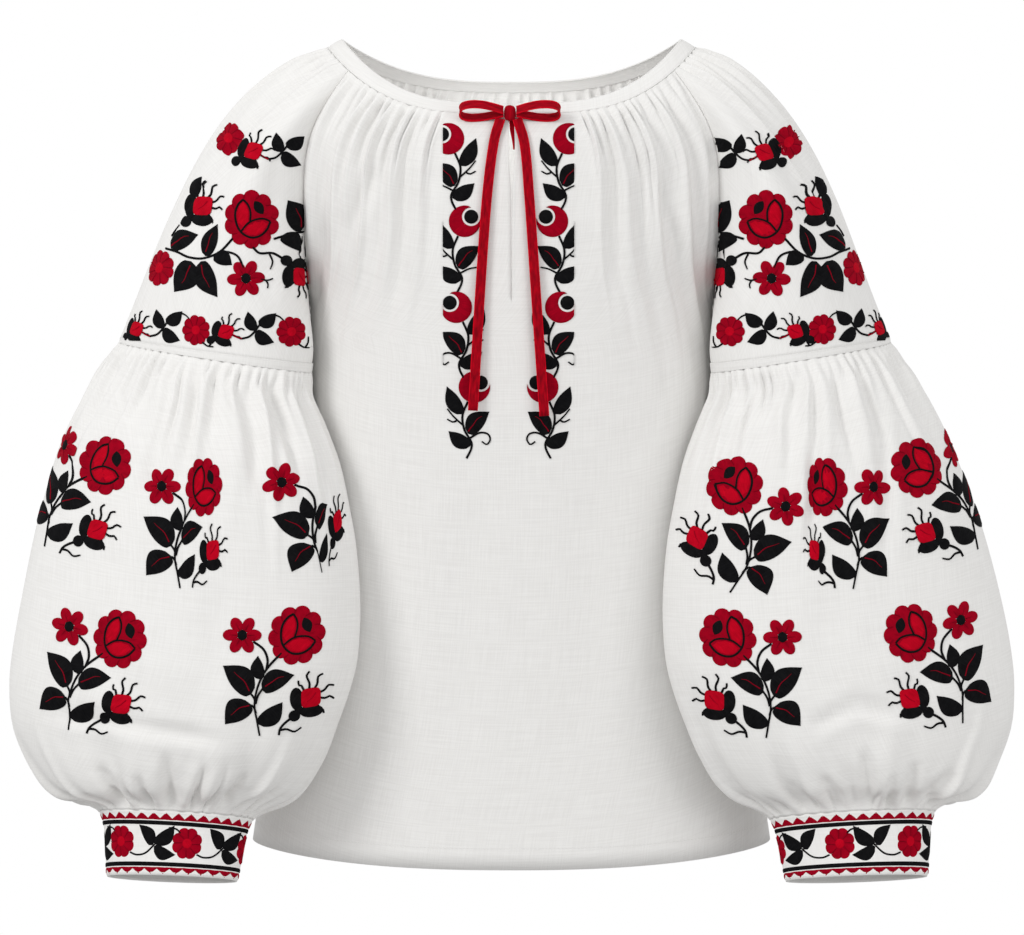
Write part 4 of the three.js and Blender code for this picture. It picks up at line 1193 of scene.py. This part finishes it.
def shoulder_spray(work, put):
    """Large rose with leaves, two buds and an open flower round it."""
    stem = [(-14, -14.5), (-24.2, -24.7), (-36.8, -29.1), (-49.3, -28.3), (-58, -24.7), (-69, -21.8)]
    stroke(work, put, stem, width=1.8, thin=1)
    stroke(work, put, [(-6, -36.6), (-10.4, -27.9), (-18.5, -24.6), (-26, -26)], width=1.7, thin=1)
    stroke(work, put, [(16.6, -14.7), (31, -10.3), (45, -8.6)], width=1.8, thin=1)
    stroke(work, put, [(0.9, -21), (5.9, -25.3), (15.9, -25.3), (22.6, -29.4)], width=1.8, thin=1)
    stroke(work, put, [(13.8, -26), (16, -32), (14.2, -37.6)])
    stroke(work, put, [(7, -45), (12, -46), (16, -44.6)], width=1.6)
    stroke(work, put, [(11, -46), (12.5, -49), (12, -52)], width=1.5)
    stroke(work, put, [(-57, -4), (-61, -8), (-64, -12.5)], thin=1)
    leaf(work, put, (36.6, -8.6), (26.2, 14.8), 18, bend=-0.1)
    leaf(work, put, (21.6, -12.4), (38, -24.6), 12, False, 0.14)
    leaf(work, put, (45, -12), (47, -30), 9, False)
    leaf(work, put, (-28.8, -27.4), (-14.6, -34.6), 11, False, 0.12)
    leaf(work, put, (-35.6, -27.6), (-26.1, -3.4), 13, bend=0.06)
    leaf(work, put, (-63.5, -21.8), (-42.4, -10.9), 13.5, bend=0.1)
    leaf(work, put, (-47, -31.5), (-59.8, -55), 19, bend=0.1)
    leaf(work, put, (-39.4, -31.5), (-25.6, -58.8), 15.5, bend=-0.08)
    leaf(work, put, (-48, 17.4), (-40.5, 33), 9, False)
    bud(work, put, -39.3, 10.4, math.radians(-47), 1.0)
    bud(work, put, 36.6, -43.3, math.radians(-137), 0.95)
    open_flower(work, put, -4.1, -44.6, 14, 6, -0.45)
    rose(work, put, 0, 0, 21)
    rose(work, put, -73, -36.8, 13, lobes=9, ring=False)


def poppy(work, put, x, y, lean_to):
    """Red crescent round a black ball, its mouth up and to one side."""
    middle = math.radians(90 - 48 * lean_to)
    t = middle + np.radians(np.linspace(34, 326, 46))
    outer = np.stack([11.9 * np.cos(t), 11.9 * np.sin(t)], -1)
    ball = np.array([4.9 * lean_to, 3.4])
    u = middle + np.radians(np.linspace(48, 312, 46))
    inner = ball + 6.9 * np.stack([np.cos(u), np.sin(u)], -1)
    span(work, put, outer + (x, y), inner + (x, y), RED, 0.55, steps=9)
    blob(work, put, oval(x + ball[0], y + ball[1], 5.3, 5.3), BLACK, 0.6)


def vine_length(work, put, flip, curl=False):
    """One poppy with the stem, leaves and tendrils that hang from it."""
    at = lambda points: np.asarray(points, float) * (flip, 1)
    stem = [(-5, -11), (-9, -21.5), (-7.5, -32.5), (-2.2, -42), (-2.5, -47), (-6, -54)]
    stroke(work, put, at(stem), width=1.7, thin=1)
    stroke(work, put, at([(-8.5, -29), (-13, -25), (-16.5, -21.5), (-20.5, -16.5)]))
    stroke(work, put, at([(-13, -25), (-16, -26.6), (-20.5, -24.4)]))
    if curl:
        tendril = [(-4, -39), (4, -34.6), (10, -35.4), (12, -39.4), (9.4, -43.4), (5.6, -41.2)]
        stroke(work, put, at(tendril), width=1.7)
    else:
        stroke(work, put, at([(-3.4, -39), (3, -35.8), (9, -34.6)]))
    for base, tip, width, vein, bend in (
        ((-9.6, -20.5), (-20.8, 0.5), 10.5, False, 0.06),
        ((-5, -35.2), (11.4, -18.6), 13, True, 0.1),
        ((-3, -44.6), (-19.6, -33.4), 10.5, False, 0.08),
    ):
        leaf(work, put, at([base])[0], at([tip])[0], width, vein, bend * flip)
    poppy(work, put, 0, 0, flip)


def border(work, put, length, lift, point, teeth, up=True):
    """Row of red triangles beside a black stripe."""
    way = 1 if up else -1
    for k in range(teeth):
        a, b = k * length / teeth, (k + 1) * length / teeth
        one = np.array([(a, lift), ((a + b) / 2, lift + way * point), (b, lift)])
        one = np.stack([np.interp([0, 0.5, 1, 1.5, 2], [0, 1, 2], one[:, i]) for i in (0, 1)], -1)
        two = np.stack([np.linspace(a, b, 5), np.full(5, lift - way * 1.4)], -1)
        span(work, put, one, two, RED, 0.45, steps=4)
    x = np.linspace(0, length, int(length / 2))
    one = np.stack([x, np.full(len(x), lift - way * 1.9)], -1)
    two = np.stack([x, np.full(len(x), lift - way * 5.2)], -1)
    span(work, put, one, two, BLACK, 0.45, steps=6)


def cuff_vine(work, put, x, rise, width):
    """Plain rose, three leaves and the stem to the next rose."""
    at = lambda points: np.asarray(points, float) * (width / 59, 1) + (x, rise)
    stroke(work, put, at([(6, 7.5), (10, 10.4), (16, 11)]), width=1.4, thin=1)
    stroke(work, put, at([(22, 5), (29, -3), (36, -8.6), (44, -9.8), (50, -8)]), width=1.5, thin=1)
    leaf(work, put, at([(28, -1.5)])[0], at([(11.5, 13)])[0], 10.5, False, 0.12)
    leaf(work, put, at([(29.5, -2.6)])[0], at([(41.5, 12.6)])[0], 9.5, False, 0.12)
    leaf(work, put, at([(28.4, -3.4)])[0], at([(9, -9)])[0], 9.5, False, 0.16)
    rose(work, put, x, rise, 11.6, lobes=8, ring=False)


def new_work():
    return {"points": [], "uv": [], "faces": [], "slots": [], "count": 0}


SEWN = {}  # the embroidery and stitches by the node they are sewn to


def finish_work(work, name, node):
    faces = np.concatenate(work["faces"])
    uv = np.concatenate(work["uv"])
    mesh = quad_mesh(name, np.concatenate(work["points"]) * 0.001, faces)
    mesh.polygons.foreach_set("material_index", np.concatenate(work["slots"]))
    mesh.polygons.foreach_set("use_smooth", np.ones(len(faces), bool))
    layer = mesh.uv_layers.new(name="cloth")
    layer.data.foreach_set("uv", uv[faces.ravel()].ravel())
    for material in THREADS:
        mesh.materials.append(material)
    mesh.update()
    obj = bpy.data.objects.new(name, mesh)
    scene.collection.objects.link(obj)
    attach(obj, "root")
    SEWN.setdefault(node, []).append(obj)


# ---- Embroidery on the front: two mirrored vines beside the slit ----
# Four poppies each on one stem; the outer leaves run out under the gathers.

STRIP_EDGE = 49.4
POPPIES = ((45.2, -72.5, -1), (33, -134.5, 1), (39.4, -199.2, -1), (25.8, -259.4, 1))  # x, z, mouth


def front_vines():
    work = new_work()
    for side in (-1, 1):
        for x, z, flip in POPPIES:
            put = spot(front, side * x - 2.2, z, -side, limits=(x - STRIP_EDGE, 40))
            vine_length(work, put, flip, z < -190)
    finish_work(work, "vines", "front")


front_vines()

# ---- Embroidery on the sleeves ----
# A garland below the shoulder, a large spray, a second garland above the
# elbow, two rows of sprays on the full sleeve and a border on the cuff.

NO_FOLD = (FAR, 1)
ROWS = {
    # x, z, turn, fold (where it starts, share of the cloth that shows), rose shown
    -1: [
        (306.5, -318.6, -0.33, NO_FOLD, True),
        (221.5, -333, 0.0, (-25, 0.66), True),
        (135, -318.5, 0.29, (-12, 0.4), False),
        (292.9, -446.4, -0.185, NO_FOLD, True),
        (160.4, -443.4, -0.02, NO_FOLD, True),
    ],
    1: [
        (306.4, -321, -0.33, NO_FOLD, True),
        (230.8, -333.2, 0.02, (-2, 0.5), True),
        (167.4, -332.6, 0.38, NO_FOLD, True),
        (298.8, -442.5, -0.2, NO_FOLD, True),
        (161.7, -445.3, -0.03, NO_FOLD, True),
    ],
}
BACK_ROWS = ((300, -320, -0.2), (232, -331, 0.0), (163, -325, 0.2), (292, -445, -0.15), (163, -443, 0.0))
ROSES = {
    # middles of the roses: upper garland, shoulder spray and lower garland
    -1: {
        "outer": (217, -70.4),
        "inner": (147.5, -81.5),
        "shoulder": (196.6, -133),
        "low": ((238.6, -216.7), (167.2, -218)),
    },
    1: {
        "outer": (212.7, -73.4),
        "inner": (143.5, -82.5),
        "shoulder": (192.6, -133),
        "low": ((235.3, -216.1), (165.9, -217.7)),
    },
}


def upper_embroidery(side, label):
    sheet, roses = sleeves[side]["upper"], ROSES[side]
    work = new_work()
    for back in (False, True):
        at = lambda place, **more: spot(sheet, side * place[0], place[1], -side, back=back, **more)
        shoulder_spray(work, at(roses["shoulder"]))
        for place in roses["low"]:
            garland(work, at(place), 0)
        rose(work, at(roses["outer"]), 0, 0, 11.6, lobes=9, ring=False)
        bud_spot = (roses["inner"][0] + BUD_REACH, roses["inner"][1])
        garland(work, at(bud_spot, turn=-0.06), BUD_REACH, 0.9, False)
    finish_work(work, f"stitching_upper_{label}", f"sleeve_upper_{label}")


def lower_embroidery(side, label):
    sheet = sleeves[side]["lower"]
    work = new_work()
    for x, z, turn, fold, with_rose in ROWS[side]:
        spray(work, spot(sheet, side * x, z, -side, turn, fold=fold), with_rose)
    for x, z, turn in BACK_ROWS:
        spray(work, spot(sheet, side * x, z, -side, turn, back=True))
    finish_work(work, f"stitching_lower_{label}", f"sleeve_lower_{label}")


CUFF_ROW, CUFF_ROSES = 14, 5  # the row half way down a cuff, and its roses


def round_cuff(sheet, row, middle):
    """Motif mm measured along the cuff's own rows, all the way round."""
    grid = sheet["smooth"]
    columns = grid.shape[1]
    order = (middle + np.arange(columns + 1) - columns // 2) % columns
    closed = grid[:, order]
    steps = np.linalg.norm(np.diff(closed, axis=1), axis=-1)
    length = steps[row].sum()
    share = np.concatenate([[0], np.cumsum(steps[row])]) / length
    down = run_down(grid)[:, middle]
    down = down - down[row]

    def put(xy, height):
        x, y = xy[..., 0].ravel(), xy[..., 1].ravel()
        c = np.interp(x / length + 0.5, share, np.arange(columns + 1))
        r = np.interp(-y, down, np.arange(len(down)))
        r0, c0 = np.clip(r.astype(int), 0, len(down) - 2), np.clip(c.astype(int), 0, columns - 1)
        f, g = (r - r0)[:, None], (c - c0)[:, None]
        left, right = order[c0], order[c0 + 1]
        mix = lambda m: (m[r0, left] * (1 - g) + m[r0, right] * g) * (1 - f) + (
            m[r0 + 1, left] * (1 - g) + m[r0 + 1, right] * g
        ) * f
        normal = mix(sheet["normals"])
        return mix(sheet["points"]) + normal * np.ravel(height)[:, None], normal

    return put


def cuff_embroidery(side, label):
    sheet = sleeves[side]["cuff"]
    work = new_work()
    columns = sheet["smooth"].shape[1]
    length = np.linalg.norm(np.diff(sheet["smooth"][CUFF_ROW], axis=0), axis=1).sum()
    put = round_cuff(sheet, CUFF_ROW, columns // 4)
    half = length / 2
    local = lambda xy, height: put(xy - (half, 0), height)
    border(work, local, length, 17.5, 4.6, 30)
    border(work, local, length, -20.4, 4.0, 26, up=False)
    for k in range(CUFF_ROSES):
        cuff_vine(work, local, 14 + k * length / CUFF_ROSES, -0.5, length / CUFF_ROSES)
    finish_work(work, f"stitching_cuff_{label}", f"cuff_{label}")


for label, side in SIDES:
    upper_embroidery(side, label)
    lower_embroidery(side, label)
    cuff_embroidery(side, label)

# ---- Sewing: topstitching on the bands, the hem and the slit ----
# White cotton, one low bump for each stitch, 3 mm apart, on the bands, the
# elbow strips, the cuff edges, the hem and both sides of the slit.


STITCH = {"pitch": 3.0, "length": 2.1}


def seam(work, sheet, row):
    """Stitches along one row of a cloth piece (row may lie between two)."""
    points, normals = sheet["points"], sheet["normals"]
    order = np.arange(points.shape[1])
    if sheet["wrap"]:
        order = np.append(order, 0)
    low = min(int(row), len(points) - 2)
    mix = lambda grid: grid[low, order] * (1 - row + low) + grid[low + 1, order] * (row - low)
    sew(work, mix(points), mix(normals))


def sew(work, line, out):
    run = np.concatenate([[0], np.cumsum(np.linalg.norm(np.diff(line, axis=0), axis=1))])
    starts = np.arange(0.5, run[-1] - STITCH["length"], STITCH["pitch"])
    t = starts[:, None] + np.linspace(0, STITCH["length"], 4)
    at = lambda grid: np.stack([np.interp(t, run, grid[:, k]) for k in range(3)], -1)
    place, up = at(line), at(out)
    way = np.gradient(place, axis=1)
    side = np.cross(way, up)
    side /= np.maximum(np.linalg.norm(side, axis=-1, keepdims=True), 1e-9)
    lift = np.array([0.02, 0.3, 0.3, 0.02])[:, None] * np.array([0.3, 1, 0.3]) + 0.03
    width = np.array([-0.32, 0, 0.32])
    grid = place[:, :, None] + side[:, :, None] * width[:, None] + up[:, :, None] * lift[..., None]
    count = grid.shape[0]
    quads = grid_quads(4, 3, flip=True)
    work["points"].append(grid.reshape(-1, 3))
    work["uv"].append(np.zeros((count * 12, 2)))
    work["faces"].append((quads[None] + 12 * np.arange(count)[:, None, None]).reshape(-1, 4) + work["count"])
    work["slots"].append(np.full(count * len(quads), WHITE))
    work["count"] += count * 12


def all_sewing():
    lines = [("neckband", band, (1.4, 7.6))]
    for label, side in SIDES:
        lines.append((f"elbow_band_{label}", sleeves[side]["strip"], (1, 7)))
        lines.append((f"cuff_{label}", sleeves[side]["cuff"], (1.5, 26)))
    for node, panel in (("front", front), ("back", back)):
        lines.append((node, panel, [np.interp(HEM["stitches"], panel["v"], np.arange(len(panel["v"])))]))
    for node, sheet, rows in lines:
        work = new_work()
        for row in rows:
            seam(work, sheet, row)
        finish_work(work, f"{node}_stitches", node)


def slit_sewing():
    work = new_work()
    rows = np.nonzero((front["v"] > 0.01) & (front["v"] < 0.9))[0]
    base, out = front["smooth"], front["normals"]
    middle = base.shape[1] // 2
    for side in (-1, 1):
        beside = side * (slit_half(front["v"][rows]) + 2.2)
        sew(work, base[rows, middle] + np.stack([beside, 0 * rows, 0 * rows], -1), out[rows, middle])
    finish_work(work, "slit_stitches", "front")


all_sewing()
slit_sewing()

# ---- Cut sizes of the cloth pieces ----
# Linen as it was cut: width all round and length in metres, flat area, how it
# is held and the piece above that it hangs from.

FLAT = {
    "neckband": (0.74, 0.014, 0.0098, "folded", None),
    "front": (0.50, 0.64, 0.27, "gathered", "neckband"),
    "back": (0.49, 0.65, 0.27, "gathered", "neckband"),
    "sleeve_upper": (0.58, 0.29, 0.09, "gathered", "neckband"),
    "elbow_band": (0.436, 0.01, 0.003, "folded", "sleeve_upper"),
    "sleeve_lower": (0.80, 0.42, 0.26, "gathered", "elbow_band"),
    "cuff": (0.305, 0.05, 0.0142, "folded", "sleeve_lower"),
}

for node, obj in CLOTH.items():
    kind, ending = node, ""
    if node not in FLAT:
        kind, _, ending = node.rpartition("_")
        ending = "_" + ending

# ---- Light, camera and background ----
# White surroundings with a soft main light from the upper left.


def area_light(name, place, aim, size, power):
    data = bpy.data.lights.new(name, "AREA")
    data.size = size
    data.energy = power
    obj = bpy.data.objects.new(name, data)
    obj.location = place
    direction = np.array(aim) - np.array(place)
    yaw = math.atan2(direction[0], -direction[1])
    pitch = math.atan2(math.hypot(direction[0], direction[1]), -direction[2])
    obj.rotation_euler = (pitch, 0, math.pi + yaw)
    scene.collection.objects.link(obj)


def white_world(strength):
    """White behind the blouse; as a light it is softer and weaker from below."""
    world = bpy.data.worlds.new("White")
    world.use_nodes = True
    tree = world.node_tree
    seen = tree.nodes["Background"]
    seen.inputs["Color"].default_value = (1, 1, 1, 1)
    lit = add(tree, "ShaderNodeBackground")
    lit.inputs["Strength"].default_value = strength
    way = add(tree, "ShaderNodeTexCoord")
    split = add(tree, "ShaderNodeSeparateXYZ")
    tree.links.new(way.outputs["Generated"], split.inputs[0])
    shade = add(tree, "ShaderNodeMapRange")
    shade.inputs["From Min"].default_value = -1.0
    shade.inputs["To Min"].default_value = 0.55
    tree.links.new(split.outputs["Z"], shade.inputs["Value"])
    tree.links.new(shade.outputs[0], lit.inputs["Color"])
    path = add(tree, "ShaderNodeLightPath")
    mix = add(tree, "ShaderNodeMixShader")
    tree.links.new(path.outputs["Is Camera Ray"], mix.inputs[0])
    tree.links.new(lit.outputs[0], mix.inputs[1])
    tree.links.new(seen.outputs[0], mix.inputs[2])
    tree.links.new(mix.outputs[0], tree.nodes["World Output"].inputs["Surface"])
    scene.world = world


white_world(0.84)
area_light("key", (-2.2, -2.0, 1.3), (0, 0, -0.3), 1.0, 41)
area_light("fill", (2.4, -2.6, 0.3), (0, 0, -0.3), 2.0, 26)
area_light("inside", (0, -0.02, -0.15), (0, 0.07, -0.02), 0.08, 0.12)

AIM_X, AIM_Z, DISTANCE = 0.0004, -0.32545, 3.2

camera_data = bpy.data.cameras.new("Camera")
camera_data.sensor_width = 36
camera_data.lens = 144.23
camera_data.clip_end = 20
camera = bpy.data.objects.new("Camera", camera_data)
elevation = math.radians(3)
camera.location = (AIM_X, -DISTANCE * math.cos(elevation), AIM_Z + DISTANCE * math.sin(elevation))
camera.rotation_euler = (math.radians(90) - elevation, 0, 0)
scene.collection.objects.link(camera)
scene.camera = camera
scene.view_settings.view_transform = "Standard"
